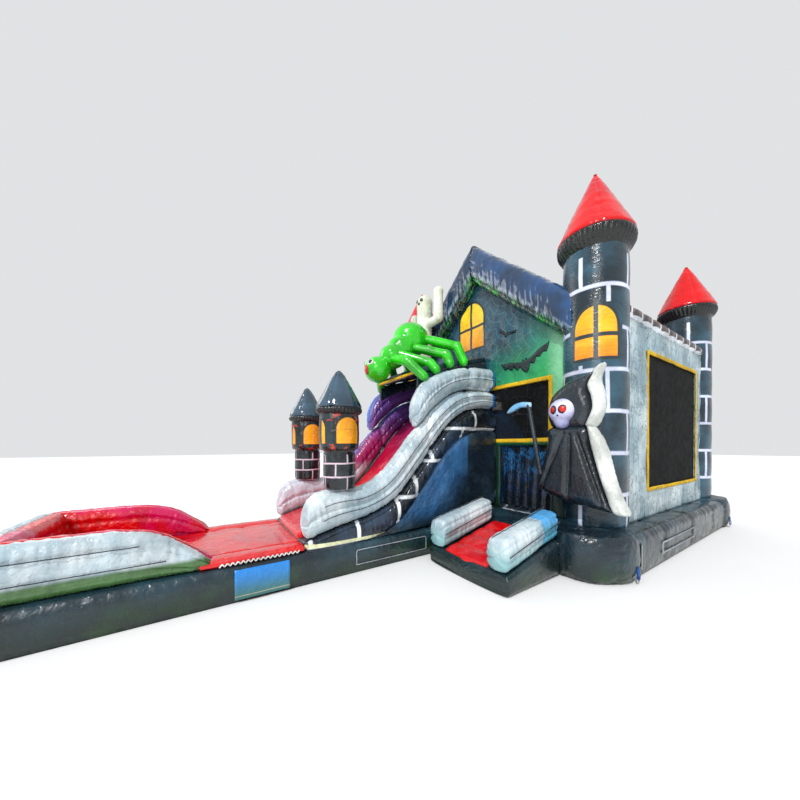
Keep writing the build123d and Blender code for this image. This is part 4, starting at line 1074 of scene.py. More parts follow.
@kept("Night vinyl")
def night_vinyl(paint):
    """Dark blue-green vinyl of the base, canopy and sleeves."""
    night = colour_of("night")
    high = paint.blend(paint.patch(1.6, 3.0, 0.42, 0.7), night, (0.018, 0.055, 0.078))
    low = paint.blend(paint.patch(2.6, 3.0, 0.45, 0.7), (0.005, 0.016, 0.014), (0.012, 0.045, 0.014))
    return paint.finish(
        paint.shade(paint.blend(paint.z.above(0.2, 0.16), low, high)), folds=0.5, crease=0.35,
        rough=(0.2, 0.38)
    )


@kept("Tower print")
def tower_print(paint):
    """Tower shafts: dark stones in white mortar."""
    base = paint.blend(paint.patch(1.7, 3.0, 0.38, 0.7), colour_of("night"), (0.03, 0.095, 0.14))
    lines = courses(paint, paint.u, paint.v, 0.58, 0.5, sizes().mortar, 0.41)
    window_box = (paint.u - 1.904).size().below(0.31, 0.005) * paint.v.within(2.48, 3.2)
    tile = paint.blend(lines * (1.0 - window_box) * paint.z.below(3.8), base, colour_of("mortar"))
    finished = arched_window(
        paint, tile, paint.u, paint.v, 1.904, 0.235, 2.56, 2.9, 0.05, colour_of("amber"), (0.9, 0.28, 0.005),
        (0.02, 0.035, 0.04)
    )
    return paint.finish(
        paint.shade(finished, 1.2, 0.75), folds=0.25, crease=0.22, rough=(0.16, 0.3), stretch=(1, 1, 2.2)
    )


@kept("Turret print")
def turret_print(paint):
    """Exit turret shafts, with their courses."""
    base = paint.blend(paint.patch(4.0, 3.0, 0.4, 0.7), (0.004, 0.006, 0.008), (0.015, 0.03, 0.035))
    lines = courses(paint, paint.u, paint.z, 0.3, 0.155, 0.018, 0.985)
    tile = paint.blend(lines * paint.z.below(1.40), base, (0.70, 0.55, 0.64))
    scraps = paint.noise(
        paint.vector(paint.x * 9.0, paint.y * 9.0, paint.z * 16.0), 1.0, 2.0
    ).above(0.60, 0.02)
    scraps = scraps * paint.z.within(1.44, 1.52, 0.01).atleast(paint.z.within(1.79, 1.87, 0.01))
    tile = paint.blend(scraps, tile, (0.45, 0.03, 0.01))
    around = ((paint.u - 0.11) / 0.365).fract() - 0.5
    glass = arch_mask(around * 0.365, paint.z, 0.0, 0.12, 1.53, 1.69)
    glow = paint.blend(paint.noise(paint.place, 6.0, 2.0), (0.88, 0.22, 0.003), (0.95, 0.46, 0.005))
    return paint.finish(
        paint.shade(paint.blend(glass, tile, glow), 1.2, 0.75), folds=0.3, crease=0.3, rough=(0.14, 0.26)
    )


@kept("Red vinyl")
def red_vinyl(paint):
    """Bright red vinyl of the cones."""
    tint = paint.blend(paint.patch(0.9, 2.0, 0.45, 0.75), colour_of("red"), (0.62, 0.0, 0.10))
    return paint.finish(
        paint.shade(tint, 1.15, 0.8), folds=0.16, crease=0.08, rough=(0.1, 0.2), coat=0.42, level=0.25
    )


@kept("Wet red vinyl")
def wet_red(paint):
    """Wetter red vinyl of the lane and the pool, with painted white glints on scattered water drops."""
    tint = paint.blend(paint.patch(1.2, 2.0, 0.5, 0.8), colour_of("red"), (0.60, 0.0, 0.04))
    high = paint.z.above(1.45, 0.7) * paint.y.above(-4.6, 0.3)
    tint = paint.blend(high, tint, (0.30, 0.012, 0.10))
    # Painted white glints of water drops in small scattered spots, which also raise the bump a little.
    drops = paint.noise(paint.place, 26.0, 3.0, 0.7)
    painted_drop_glints = paint.ramp(drops, 0.71, 0.74) * paint.patch(2.2, 1.0, 0.5, 0.6)
    tint = paint.blend(painted_drop_glints * 0.8, tint, (0.95, 0.88, 0.88))
    return paint.finish(
        paint.shade(tint, 1.15, 0.8), folds=0.6, crease=0.25, rough=(0.1, 0.24), coat=0.6, extra=painted_drop_glints * 0.15
    )


def pale_tone(paint):
    """The grey-white of the bolsters, in soft patches."""
    patch = paint.patch(1.9, 4.0, 0.36, 0.68, 0.6)
    streaks = paint.noise(paint.vector(paint.x * 9.0, paint.y * 1.6, paint.z * 5.0), 1.0, 4.0, 0.6)
    tint = paint.blend(patch, colour_of("pale"), (0.66, 0.73, 0.76))
    return paint.blend(streaks.above(0.58, 0.12) * 0.5, tint, (0.26, 0.36, 0.42))


@kept("Pale vinyl")
def pale_vinyl(paint):
    """Grey-white bolster vinyl."""
    return paint.finish(
        paint.shade(pale_tone(paint), 1.1, 0.82), folds=0.55, crease=0.42, rough=(0.2, 0.38), scale=6.0
    )


@kept("Rail vinyl")
def rail_vinyl(paint):
    """Near slide rail."""
    ends = paint.y.above(-2.13, 0.004)
    tint = paint.blend(ends, pale_tone(paint), colour_of("blue"))
    return paint.finish(paint.shade(tint, 1.1, 0.82), folds=0.55, crease=0.45, rough=(0.2, 0.36), scale=6.0)


@kept("Far rail vinyl")
def far_rail_vinyl(paint):
    """Far slide rail, which changes colour as it rises."""
    rise = paint.z + (paint.noise(paint.place, 2.0, 2.0) - 0.5) * 0.25
    purple = paint.blend(rise.above(1.75, 0.35), (0.36, 0.01, 0.12), (0.12, 0.05, 0.26))
    outer = paint.x + (paint.noise(paint.place, 2.4, 2.0) - 0.5) * 0.1
    magenta = paint.blend(outer.above(-1.03, 0.07), (0.015, 0.13, 0.50), purple)
    low = paint.blend(rise.above(1.16, 0.10), (0.60, 0.60, 0.68), magenta)
    tint = paint.blend(paint.x.below(-1.15, 0.01), low, pale_tone(paint))
    tint = paint.blend(paint.y.above(-2.13), tint, colour_of("blue"))
    return paint.finish(paint.shade(tint, 1.15, 0.78), folds=0.5, crease=0.4, rough=(0.2, 0.36), scale=6.0)


@kept("Pool wall vinyl")
def pool_wall_vinyl(paint):
    """Pool walls: pale outside, red inside."""
    inner = paint.x.within(-1.11, 0.315, 0.006) * paint.y.above(-7.40, 0.006)
    tint = paint.blend(paint.z.below(0.47, 0.025), pale_tone(paint), (0.07, 0.17, 0.05))
    inside = paint.blend(
        paint.noise(paint.place, 2.0, 2.0).above(0.55, 0.1), colour_of("red"), (0.62, 0.0, 0.10)
    )
    return paint.finish(
        paint.shade(paint.blend(inner, tint, inside), 1.1, 0.82), folds=0.6, crease=0.42, rough=(0.18, 0.36)
    )


@kept("Ramp bolster vinyl")
def ramp_vinyl(paint):
    """Bolsters of the entry ramp."""
    tint = paint.blend(paint.z.below(0.42, 0.13), pale_tone(paint), (0.22, 0.42, 0.44))
    back = paint.y.above(-2.98, 0.004) * paint.x.above(1.5)
    tint = paint.blend(
        back, tint, paint.blend(paint.z.above(0.62, 0.05), (0.06, 0.26, 0.38), (0.08, 0.34, 0.66))
    )
    return paint.finish(paint.shade(tint, 1.1, 0.84), folds=0.55, crease=0.4, rough=(0.2, 0.38))


@kept("Stone print vinyl")
def stone_vinyl(paint):
    """Pale stone print, with thin dark lines painted as shade in the film's creases."""
    patch = paint.noise(paint.place, 2.2, 5.0, 0.65)
    tint = paint.blend(paint.ramp(patch, 0.36, 0.66), colour_of("stone"), (0.52, 0.62, 0.64))
    # Thin dark lines: painted shade in the film's creases.
    crease_shade_lines = (paint.noise(paint.place, 3.1, 5.0, 0.6) - 0.5).size().below(0.012, 0.012)
    tint = paint.blend(crease_shade_lines * 0.7, tint, (0.05, 0.11, 0.15))
    return paint.finish(
        paint.shade(tint, 1.15, 0.75), folds=0.5, crease=1.6, rough=(0.2, 0.36), scale=2.4,
        stretch=(1.6, 1.6, 0.5)
    )


@kept("Brick beam vinyl")
def brick_beam(paint):
    """Bricks along the wall-top beams."""
    base = paint.blend(paint.noise(paint.place, 5.0, 2.0), (0.012, 0.016, 0.02), (0.10, 0.055, 0.045))
    across = ((paint.x + paint.y) / 0.33).fract() - 0.5
    lines = across.size().above(0.44, 0.01).atleast(paint.z.below(3.185, 0.004))
    return paint.finish(paint.shade(paint.blend(lines, base, (0.74, 0.78, 0.84))), folds=0.5, crease=0.4)


@kept("Front print")
def front_print(paint):
    """Front wall print."""
    drift = (paint.noise(paint.place, 1.4, 4.0, 0.6) - 0.5) * 1.2
    to_green = paint.ramp(paint.x * 0.72 - (paint.z - 2.9) * 0.85 + drift, -0.1, 1.35)
    sky = paint.blend(paint.patch(5.0, 5.0, 0.35, 0.7, 0.7), (0.008, 0.035, 0.065), (0.012, 0.085, 0.13))
    glow = paint.blend(paint.ramp(paint.z, 2.0, 3.4), (0.02, 0.42, 0.07), (0.02, 0.24, 0.13))
    glow = paint.blend(paint.x.above(1.38, 0.12) * 0.7, glow, (0.26, 0.60, 0.36))
    tint = paint.blend(to_green, sky, glow)
    lowdark = paint.z.below(1.56, 0.06)
    tint = paint.blend(lowdark * 0.95, tint, (0.006, 0.016, 0.02))
    wx, wz = paint.x + 0.03, paint.z - 2.97
    reach = (wx * wx + wz * wz).run("SQRT")
    turn = paint.math("ARCTAN2", wz, wx)
    spoke = ((turn / (TAU / 15.0)).fract() - 0.5).size()
    spokes = (spoke * reach).below(0.008, 0.005)
    sag = reach * (1.0 + (0.25 - spoke * spoke) * 0.45)
    rounds = ((sag / 0.145).fract() - 0.5).size().below(0.035, 0.03)
    web = spokes.atleast(rounds) * reach.below(1.25, 0.15) * reach.above(0.03)
    tint = paint.blend(web * 0.3, tint, (0.16, 0.40, 0.42))
    trees = paint.noise(paint.vector(paint.x * 9.0, 0.0, paint.z * 1.6), 1.0, 4.0, 0.7)
    tint = paint.blend(trees.above(0.6, 0.02) * paint.z.below(2.0, 0.25) * 0.8, tint, (0.008, 0.02, 0.025))
    finished = arched_window(
        paint, tint, paint.x, paint.z, -0.165, 0.29, 3.26, 3.74, 0.045, (0.85, 0.62, 0.02),
        (0.85, 0.32, 0.005), (0.008, 0.02, 0.03)
    )
    return paint.finish(
        paint.shade(finished, 1.2, 0.75), folds=0.25, crease=0.35, rough=(0.3, 0.45), scale=3.6, coat=0.06
    )


@kept("Gable vinyl")
def gable_vinyl(paint):
    """Gable beams: glossy navy, with painted shade and painted highlights on the puckered band along the
    underside.
    """
    patch = paint.patch(1.3, 3.0, 0.42, 0.72, 0.6)
    tint = paint.blend(patch, colour_of("gable"), (0.006, 0.07, 0.22))
    # The band along the underside: painted shade in its puckers, lighter along the pucker streaks, with green
    # blotches.
    under = paint.z + paint.x.size() * 0.879
    pucker_streaks = paint.noise(paint.vector(paint.x * 26.0, paint.y * 6.0, paint.z * 7.0), 1.0, 3.0, 0.6)
    dark = paint.blend(pucker_streaks.above(0.52, 0.06), (0.003, 0.008, 0.010), (0.03, 0.09, 0.11))
    green = paint.noise(paint.place, 1.9, 2.0).above(0.5, 0.08) * pucker_streaks.above(0.47, 0.08)
    dark = paint.blend(green, dark, (0.02, 0.34, 0.03))
    edge = under + (pucker_streaks - 0.5) * 0.12
    tint = paint.blend(edge.below(4.50, 0.05), tint, dark)
    # Painted highlights on the pucker ridges at the top edge of the shaded band.
    pale = edge.within(4.49, 4.57, 0.03) * pucker_streaks.above(0.5, 0.08)
    tint = paint.blend(pale * 0.7, tint, (0.34, 0.44, 0.50))
    return paint.finish(paint.shade(tint, 1.2, 0.7), folds=0.1, crease=0.05, rough=(0.08, 0.16), coat=0.8)


@kept("Shingle print")
def shingle_vinyl(paint):
    """Roof sheets, in rows of shingles."""
    base = paint.blend(paint.noise(paint.place, 4.0, 3.0), (0.012, 0.02, 0.04), (0.06, 0.05, 0.08))
    lines = courses(paint, paint.y, paint.x.size(), 0.5, 0.3, 0.03)
    return paint.finish(
        paint.shade(paint.blend(lines, base, (0.22, 0.035, 0.06))), folds=0.25, crease=0.3, scale=3.5,
        coat=0.1, rough=(0.3, 0.45)
    )


@kept("Brick tube print")
def brick_tube(paint):
    """Tubes along the slide, with bricks."""
    base = paint.blend(paint.patch(2.2, 3.0, 0.4, 0.7), (0.006, 0.010, 0.016), (0.03, 0.06, 0.11))
    lines = courses(paint, paint.y + 3.934, paint.z, 0.565, 0.472, 0.045, 0.345)
    tint = paint.blend(lines, base, (0.78, 0.82, 0.86))
    tint = paint.blend(paint.z.below(0.36), tint, base)
    tint = paint.blend(paint.z.within(0.362, 0.40), tint, (0.70, 0.72, 0.44))
    return paint.finish(paint.shade(tint), folds=0.3, crease=0.3, rough=(0.16, 0.3))


@kept("Side panel vinyl")
def side_panel(paint):
    """Slide side: dark vinyl, with a painted blue highlight over its upper part that fades downwards."""
    base = paint.blend(paint.patch(1.8, 3.0, 0.4, 0.7), (0.008, 0.016, 0.026), (0.03, 0.06, 0.09))
    # Painted highlight: full above a line that rises towards the slide's head, fading out below it.
    arc = paint.z - 0.52 - (paint.y + 4.1).atleast(0.0) * (paint.y + 4.1).atleast(0.0) * 0.52
    shine = paint.ramp(arc + (paint.noise(paint.place, 1.2, 2.0) - 0.5) * 0.1, 0.0, -0.75, 1.0, 0.0)
    shine = shine * paint.y.below(-2.66, 0.015) * paint.z.above(0.50, 0.12)
    tint = paint.blend(shine * 0.9, base, (0.035, 0.13, 0.30))
    return paint.finish(paint.shade(tint), folds=0.4, crease=0.45, rough=(0.16, 0.3))


def plain_vinyl(paint, colour, second=None, **looks):
    """Coated cloth in one colour, mottled towards a second."""
    colour = as_colour(colour)
    second = second or tuple(c * SHADE for c in colour)
    tone = paint.blend(paint.patch(1.3, 3.0, 0.4, 0.68), colour, second)
    return paint.finish(paint.shade(tone), **looks)


def web_cloth(paint, colour, second):
    """Woven webbing or thread, with its ribs."""
    ribs = (paint.x * 900.0 + paint.y * 900.0 + paint.z * 900.0).wave()
    tint = paint.blend(paint.patch(30.0, 3.0, 0.35, 0.7), as_colour(colour), second)
    return paint.finish(
        paint.shade(tint), rough=(0.5, 0.75), folds=0.3, crease=0.3, coat=0.0, level=0.3, extra=ribs * 0.12
    )


def moulded(paint, colour, second, rough=(0.35, 0.55)):
    """Moulded plastic with a fine grain."""
    tint = paint.blend(paint.patch(9.0, 3.0, 0.35, 0.7), as_colour(colour), second)
    grain = paint.noise(paint.place, 420.0, 1.0)
    return paint.finish(paint.shade(tint), rough=rough, folds=0.1, crease=0.02, coat=0.0, extra=grain * 0.12)


def bare_metal(paint, colour, second, rough=(0.25, 0.45), metal=1.0):
    """Worn metal with fine brushing and dull patches."""
    brushed = paint.noise(paint.vector(paint.x * 40.0, paint.y * 900.0, paint.z * 40.0), 1.0, 2.0)
    tint = paint.blend(paint.patch(60.0, 3.0, 0.35, 0.7), as_colour(colour), second)
    return paint.finish(
        paint.shade(tint, 1.1, 0.8), rough=rough, folds=0.05, crease=0.02, coat=0.0, metal=metal,
        extra=brushed * 0.1
    )




@kept("Panel print")
def panel_print(paint):
    """Blank sky-blue panel that fades darker to its foot."""
    tint = paint.blend(paint.ramp(paint.z, 0.05, 0.3), (0.04, 0.16, 0.16), (0.01, 0.24, 0.72))
    tint = paint.blend(paint.z.within(0.06, 0.066), tint, (0.5, 0.42, 0.25))
    return paint.finish(paint.shade(tint, 1.15, 0.85), folds=0.4, crease=0.4)


@kept("Curtain print")
def curtain_print(paint):
    """Door curtains, with soft branches."""
    branch = paint.noise(paint.vector(paint.x * 5.0, 0.0, paint.z * 3.0), 1.0, 5.0, 0.75)
    base = paint.blend(paint.noise(paint.place, 4.0, 3.0), (0.002, 0.004, 0.007), (0.010, 0.018, 0.028))
    mist = paint.blend(paint.z.above(1.15, 0.3), (0.006, 0.02, 0.07), (0.015, 0.16, 0.42))
    tint = paint.blend((branch - 0.5).size().below(0.03, 0.02) * paint.z.within(0.75, 1.5, 0.1), base, mist)
    return paint.finish(paint.shade(tint), folds=0.6, crease=0.6, stretch=(1.0, 1.0, 0.3))


LOOK_MAKERS.update({
    "Leaf vinyl": partial(
        plain_vinyl, colour="leaf", second=(0.01, 0.40, 0.003), folds=0.15, crease=0.2, rough=(0.14, 0.26),
        coat=0.5
    ),
    "Collar vinyl": partial(
        plain_vinyl, colour=(0.002, 0.003, 0.004), second=(0.004, 0.010, 0.006), folds=0.4, crease=0.3,
        scale=9.0, rough=(0.16, 0.3)
    ),
    "Turret roof vinyl": partial(
        plain_vinyl, colour=(0.02, 0.055, 0.09), second=(0.05, 0.11, 0.17), folds=0.25, crease=0.15,
        rough=(0.1, 0.2), coat=0.6
    ),
    "Blue vinyl": partial(plain_vinyl, colour="blue", second=(0.02, 0.10, 0.36), folds=0.5, crease=0.4),
    "Robe vinyl": partial(
        plain_vinyl, colour=(0.005, 0.009, 0.014), second=(0.025, 0.04, 0.055), folds=0.3, crease=0.3,
        rough=(0.12, 0.26), coat=0.4
    ),
    "Bone vinyl": partial(
        plain_vinyl, colour=(0.74, 0.70, 0.80), second=(0.30, 0.33, 0.62), folds=0.2, crease=0.12
    ),
    "Ghost vinyl": partial(
        plain_vinyl, colour=(0.62, 0.66, 0.50), second=(0.74, 0.77, 0.70), folds=0.3, crease=0.25
    ),
    "White trim": partial(
        plain_vinyl, colour=(0.76, 0.79, 0.74), second=(0.62, 0.66, 0.62), folds=0.4, crease=0.3
    ),
    "Blade vinyl": partial(
        plain_vinyl, colour=(0.16, 0.42, 0.70), second=(0.62, 0.78, 0.88), folds=0.3, crease=0.2
    ),
    "Black print": partial(
        plain_vinyl, colour=(0.006, 0.01, 0.014), second=(0.015, 0.03, 0.04), folds=0.3, crease=0.3
    ),
    "Ember print": partial(
        plain_vinyl, colour=(0.62, 0.01, 0.005), second=(0.32, 0.0, 0.0), folds=0.2, crease=0.2
    ),
    "Orange vinyl": partial(plain_vinyl, colour=(0.90, 0.30, 0.01), second=(0.80, 0.16, 0.01)),
    "Net thread": partial(web_cloth, colour=(0.006, 0.007, 0.008), second=(0.02, 0.02, 0.02)),
    "Yellow webbing": partial(web_cloth, colour="yellow", second=(0.72, 0.40, 0.01)),
    "Blue webbing": partial(web_cloth, colour=(0.02, 0.12, 0.45), second=(0.01, 0.05, 0.22)),
    "Dark thread": partial(web_cloth, colour=(0.03, 0.035, 0.045), second=(0.08, 0.09, 0.11)),
    "Pale thread": partial(web_cloth, colour=(0.50, 0.54, 0.58), second=(0.34, 0.38, 0.42)),
    "Blower plastic": partial(moulded, colour=(0.75, 0.30, 0.02), second=(0.60, 0.20, 0.02)),
    "Black plastic": partial(moulded, colour=(0.015, 0.015, 0.016), second=(0.03, 0.03, 0.032)),
    "Painted metal": partial(
        bare_metal, colour=(0.03, 0.03, 0.033), second=(0.07, 0.07, 0.075), rough=(0.35, 0.5), metal=0.6
    ),
    "Ring steel": partial(bare_metal, colour=(0.62, 0.62, 0.64), second=(0.42, 0.42, 0.44)),
})


# ---------------------------------------------------------------- pieces


def bar(start, end, low, high):
    """The lower and the upper line of a level tube between two places on the plan."""
    return [(*start, low), (*end, low)], [(*start, high), (*end, high)]


def lane(line, x):
    """Side-view points as places at one X."""
    return [(x, y, z) for y, z in line]


def add_seam(kind, line):
    """Notes a line that gets a seam's tape and stitches."""
    SEAMS[kind].append(np.asarray(line, float))


class PieceOperator:
    """What every piece's operator shares."""

    bl_options = {"REGISTER", "UNDO"}

    def execute(self, context):
        """Builds the piece with the user's sizes."""
        self.build(context.scene.bounce_sizes)
        return {"FINISHED"}


class BOUNCE_OT_base(PieceOperator, bpy.types.Operator):
    """Bounce floor and the ring of base tubes and round corners"""

    bl_idname = "bounce.base"
    bl_label = "Base and floor"

    def build(self, size):
        night = look("Night vinyl")
        parts = []
        for k, (x, y) in enumerate(CORNERS):
            profile = [
                (0.30, 0.0), (0.45, 0.0), (0.498, 0.03), (0.520, 0.12), (0.528, 0.26), (0.520, 0.40),
                (0.495, 0.49), (0.44, 0.527), (0.2, 0.532), (0.02, 0.532)
            ]
            parts.append(
                turned(
                    f"corner_{k}", (x, y), profile, night, turns=150, seams=6, edges=(0.02, 0.5),
                    depth=size.pucker, seed=11 + k, crumple=0.004
                )
            )
        for k, x in enumerate((2.25, -2.25)):
            parts.append(
                chamber(
                    f"side_{k}", *bar((x, -2.1), (x, 1.85), 0, 0.497), (0.212, 0, 0), night, power=5.0,
                    dome=0.05, depth=size.pucker, reach=size.reach, ribs=(0.9, 2.0, 3.1), rib_depth=0.008,
                    seed=21 + k, flat_low=True
                )
            )
        for k, (y, half) in enumerate(((-2.30, 0.365), (2.19, 0.21))):
            parts.append(
                chamber(
                    f"end_{k}", *bar((-1.95, y), (1.95, y), 0, 0.497), (0, half, 0), night, power=5.0,
                    dome=0.05, depth=size.pucker, reach=size.reach, seed=31 + k, flat_low=True
                )
            )
        settle(join("base_ring", *parts), nodes=("base_tubes",))

        def channels(rings, run):
            top = np.clip((rings[..., 2] - 0.3) / 0.1, 0, 1)
            return top * 0.02 * (np.abs(np.sin(rings[..., 0] * math.pi / 0.34)) ** 0.6 - 1)

        floor = chamber(
            "floor_cushion", *bar((-2.03, 0.025), (2.03, 0.025), 0, 0.452), (0, 1.945, 0), look("Pale vinyl"),
            power=30, dome=0.04, turns=220, step=0.03, depth=0.006, crumple=0.003, seed=41, shape=channels,
            flat_low=True
        )
        settle(floor, nodes=("bounce_floor",))
        self.patches()

    def patches(self):
        """A blank care patch and a stitched outline on the right side of the base."""
        (cx, cy), radius = CORNERS[0], 0.5345

        def on_corner(a, z, lift):
            return cx + radius * np.cos(a + 0.26), cy + radius * np.sin(a + 0.26), z

        def on_pool(y, z, lift):
            return 0.5115 + 0.003 * np.sin(y * 21) * np.sin(z * 12), y, z

        us, vs = np.linspace(-0.02, 0.42, 18), np.linspace(0.13, 0.40, 14)
        settle(panel("blank_patch", us, vs, on_corner, look("White trim"), 0.003))
        ys, zs = np.linspace(-5.81, -5.31, 26), np.linspace(0.03, 0.318, 16)
        settle(panel("blank_panel", ys, zs, on_pool, look("Panel print"), 0.003))
        outlines = [(0.511, -4.56, -3.54, 0.10, 0.27)]
        outlines += [(2.468, -1.35 + in_, -0.05 - in_, 0.16 + in_, 0.30 - in_) for in_ in (0.0, 0.012)]
        for x, y0, y1, z0, z1 in outlines:
            add_seam("pale", [(x, y0, z0), (x, y1, z0), (x, y1, z1), (x, y0, z1), (x, y0, z0)])


class BOUNCE_OT_towers(PieceOperator, bpy.types.Operator):
    """Four round towers with gathered collars and pointed roofs"""

    bl_idname = "bounce.towers"
    bl_label = "Towers"

    def build(self, size):
        rig = shell_rig()
        collars, roofs = [], []
        for k, (name, (x, y)) in enumerate(TOWERS.items()):
            seed_mesh = line_mesh("seed", [[(0, 0, 0), (0, 0, 1)]])
            turn = 0.0 if name.startswith("front") else 1.9
            shaft = rig.grow(
                f"tower_skin_{name}", seed_mesh, Middle=(x, y, 0.0), Radius=0.368, Foot=0.49, Top=3.97,
                Pucker=size.pucker, Seed=float(k + 1), Turn=turn, Material=look("Tower print")
            )
            settle(shaft, nodes=(f"tower_{name}",))
            collar = [
                (0.355, 3.90), (0.372, 3.925), (0.405, 3.965), (0.438, 4.02), (0.449, 4.07), (0.444, 4.105),
                (0.42, 4.118), (0.30, 4.12)
            ]
            collars.append(
                turned(
                    f"collar_{k}", (x, y), collar, look("Collar vinyl"), turns=260,
                    pleats=(size.pleats, 0.011, 3.93, 4.09), seed=50 + k, crumple=0.004
                )
            )
            roof = [
                (0.40, 4.095), (0.438, 4.104), (0.449, 4.125), (0.441, 4.155), (0.415, 4.205), (0.24, 4.57),
                (0.085, 4.89), (0.03, 5.005), (0.012, 5.03), (0.002, 5.034)
            ]
            roofs.append(
                turned(
                    f"roof_{k}", (x, y), roof, look("Red vinyl"), turns=170, seams=size.gores, edges=(4.10,),
                    depth=size.pucker * 0.7, pitch=0.035, reach=0.07, seed=60 + k, start=-0.35
                )
            )
        settle(join("tower_collar_ruffs", *collars), nodes=("tower_collars",))
        settle(join("tower_roof_cones", *roofs), nodes=("tower_roofs",))


def film_folds(size, seed):
    """Loose vertical and slanting folds of wall film."""

    def move(u, v):
        points = np.stack([u * 1.7 + v * 0.5, v * 0.7 - u * 0.2, np.zeros_like(u)], -1)
        ridges = 1 - np.abs(rough_field(points, 2.6, seed)) * 2
        fine = 1 - np.abs(rough_field(points, 6.5, seed + 3)) * 2
        return size.crumple * (0.9 * ridges + 0.5 * fine)

    return move


def net_lines(lows, highs, pitch, place, bulge=0.0):
    """Crossing threads over an opening between two corners."""
    (u0, v0), (u1, v1) = lows, highs
    lines = []
    share = np.linspace(0, 1, 9)
    for u in np.arange(u0 + pitch / 2, u1, pitch):
        lines.append(
            [
                place(
                    u, v0 + (v1 - v0) * t,
                    bulge * math.sin(math.pi * t) * math.sin(math.pi * (u - u0) / (u1 - u0))
                ) for t in share
            ]
        )
    for v in np.arange(v0 + pitch / 2, v1, pitch):
        lines.append(
            [
                place(
                    u0 + (u1 - u0) * t, v,
                    bulge * math.sin(math.pi * t) * math.sin(math.pi * (v - v0) / (v1 - v0))
                ) for t in share
            ]
        )
    return lines


def border_strip(name, lows, highs, width, place, material, seed):
    """A webbing border round an opening, a little uneven, as one flat ring."""
    (u0, v0), (u1, v1) = lows, highs
    path = [(u0, v0), (u1, v0), (u1, v1), (u0, v1), (u0, v0)]
    verts, faces, uvs = [], [], []
    outline = np.concatenate(
        [np.linspace(a, b, 28, endpoint=False) for a, b in zip(np.array(path), np.array(path[1:]))]
    )
    middle = np.array([(u0 + u1) / 2, (v0 + v1) / 2])
    half = np.array([(u1 - u0) / 2, (v1 - v0) / 2])
    profile = [(-0.5, -0.004), (-0.5, 0.004), (-0.25, 0.008), (0.25, 0.008), (0.5, 0.004), (0.5, -0.004)]
    count, n = len(outline), len(profile)
    wobble = rough_field(np.column_stack([outline, np.zeros(count)]), 4.0, seed) * 0.006
    for k, point in enumerate(outline):
        away = (point - middle) / half
        for across, lift in profile:
            corner = np.where(np.abs(away) > 0.999, np.sign(away), 0.0)
            spot = point + corner * (across * width + wobble[k])
            verts.append(place(spot[0], spot[1], lift + abs(wobble[k])))
    for k in range(count):
        for m in range(n):
            a, b = k * n + m, k * n + (m + 1) % n
            c, d = ((k + 1) % count) * n + (m + 1) % n, ((k + 1) % count) * n + m
            faces.append([a, b, c, d])
            uvs.extend([[k * 0.05, m * 0.02]] * 4)
    made = make_mesh(name, [tuple(v) for v in verts], faces, uvs, material)
    return outward_faces(made)


def outward_faces(piece):
    """Turns a closed piece's faces outwards."""
    work = bmesh.new()
    work.from_mesh(piece.data)
    bmesh.ops.recalc_face_normals(work, faces=work.faces)
    work.to_mesh(piece.data)
    work.free()
    return piece


def on_side(x, out):
    """Gives places on a side wall, from across it, up it and outwards."""
    return lambda across, up, lift: (x + out * lift, across, up)


def on_end(y, out):
    """Gives places on a front or rear wall, from across it, up it and outwards."""
    return lambda across, up, lift: (across, y + out * lift, up)


def film_wall(size, name, place, step, opening, seed):
    """A wall of creased film with one opening."""
    (u0, v0), (u1, v1) = opening

    def skip(u, v):
        return u0 < u < u1 and v0 < v < v1

    us = spaced(-WALL_HALF, WALL_HALF, step, (u0, u1))
    vs = spaced(WALL_FOOT, WALL_TOP, step, (v0, v1))
    return panel(
        f"{name}_film", us, vs, place, look("Stone print vinyl"), 0.042, skip, film_folds(size, seed)
    )


class BOUNCE_OT_walls(PieceOperator, bpy.types.Operator):
    """Side and rear walls of creased film, with their nets, borders and top beams"""

    bl_idname = "bounce.walls"
    bl_label = "Walls and nets"

    def build(self, size):
        nets = []
        for k, (name, x, out) in enumerate((("right_wall", WALL_X, 1), ("left_wall", -WALL_X, -1))):
            opening = (-0.89, 0.88), (1.31, 2.81)
            place = on_side(x, out)
            settle(film_wall(size, name, place, 0.035, opening, 71 + k), nodes=(name,))
            nets.append((place, opening, 0.012, size.border, 80 + k))
        opening, place = ((-0.95, 0.88), (0.95, 1.90)), on_end(REAR_Y, 1)
        settle(film_wall(size, "rear_wall", place, 0.04, opening, 75), nodes=("rear_wall",))
        nets.append((place, opening, 0.012, size.border, 84))
        nets.append((on_end(FRONT_Y, -1), ((0.244, 1.58), (1.377, 2.465)), 0.01, size.border * 1.1, 85))
        lines, borders = [], []
        for place, opening, bulge, width, seed in nets:
            lines += net_lines(*opening, size.net_pitch, place, bulge)
            for face in (1, -1):

                def edge(u, v, lift, place=place, face=face):
                    return place(u, v, face * (NET_OFF + lift))

                borders.append(border_strip("border", *opening, width, edge, look("Yellow webbing"), seed))
        net = bead_rig().grow(
            "window_net_threads", line_mesh("net", lines), Radius=size.net_thread / 2, Sides=3, Pitch=0.4,
            Waver=0.0, Material=look("Net thread")
        )
        settle(net, nodes=("window_nets",))
        settle(join("net_borders", *borders))
        runs = [
            ((WALL_X, -1.6), (WALL_X, 1.6), (0.08, 0, 0), 90),
            ((-WALL_X, -1.6), (-WALL_X, 1.6), (0.08, 0, 0), 91),
            ((-1.62, REAR_Y), (1.62, REAR_Y), (0, 0.08, 0), 93)
        ]
        beams = [
            chamber(
                "beam", *bar(start, end, 3.14, 3.31), side, look("Brick beam vinyl"), power=2.4, dome=0.05,
                depth=0.008, reach=0.04, ribs=tuple(np.arange(0.16, 3.2, 0.33)), rib_depth=0.016, seed=seed,
                step=0.02
            ) for start,
            end, side, seed in runs
        ]
        settle(join("wall_top_rolls", *beams), nodes=("wall_top_beams",))


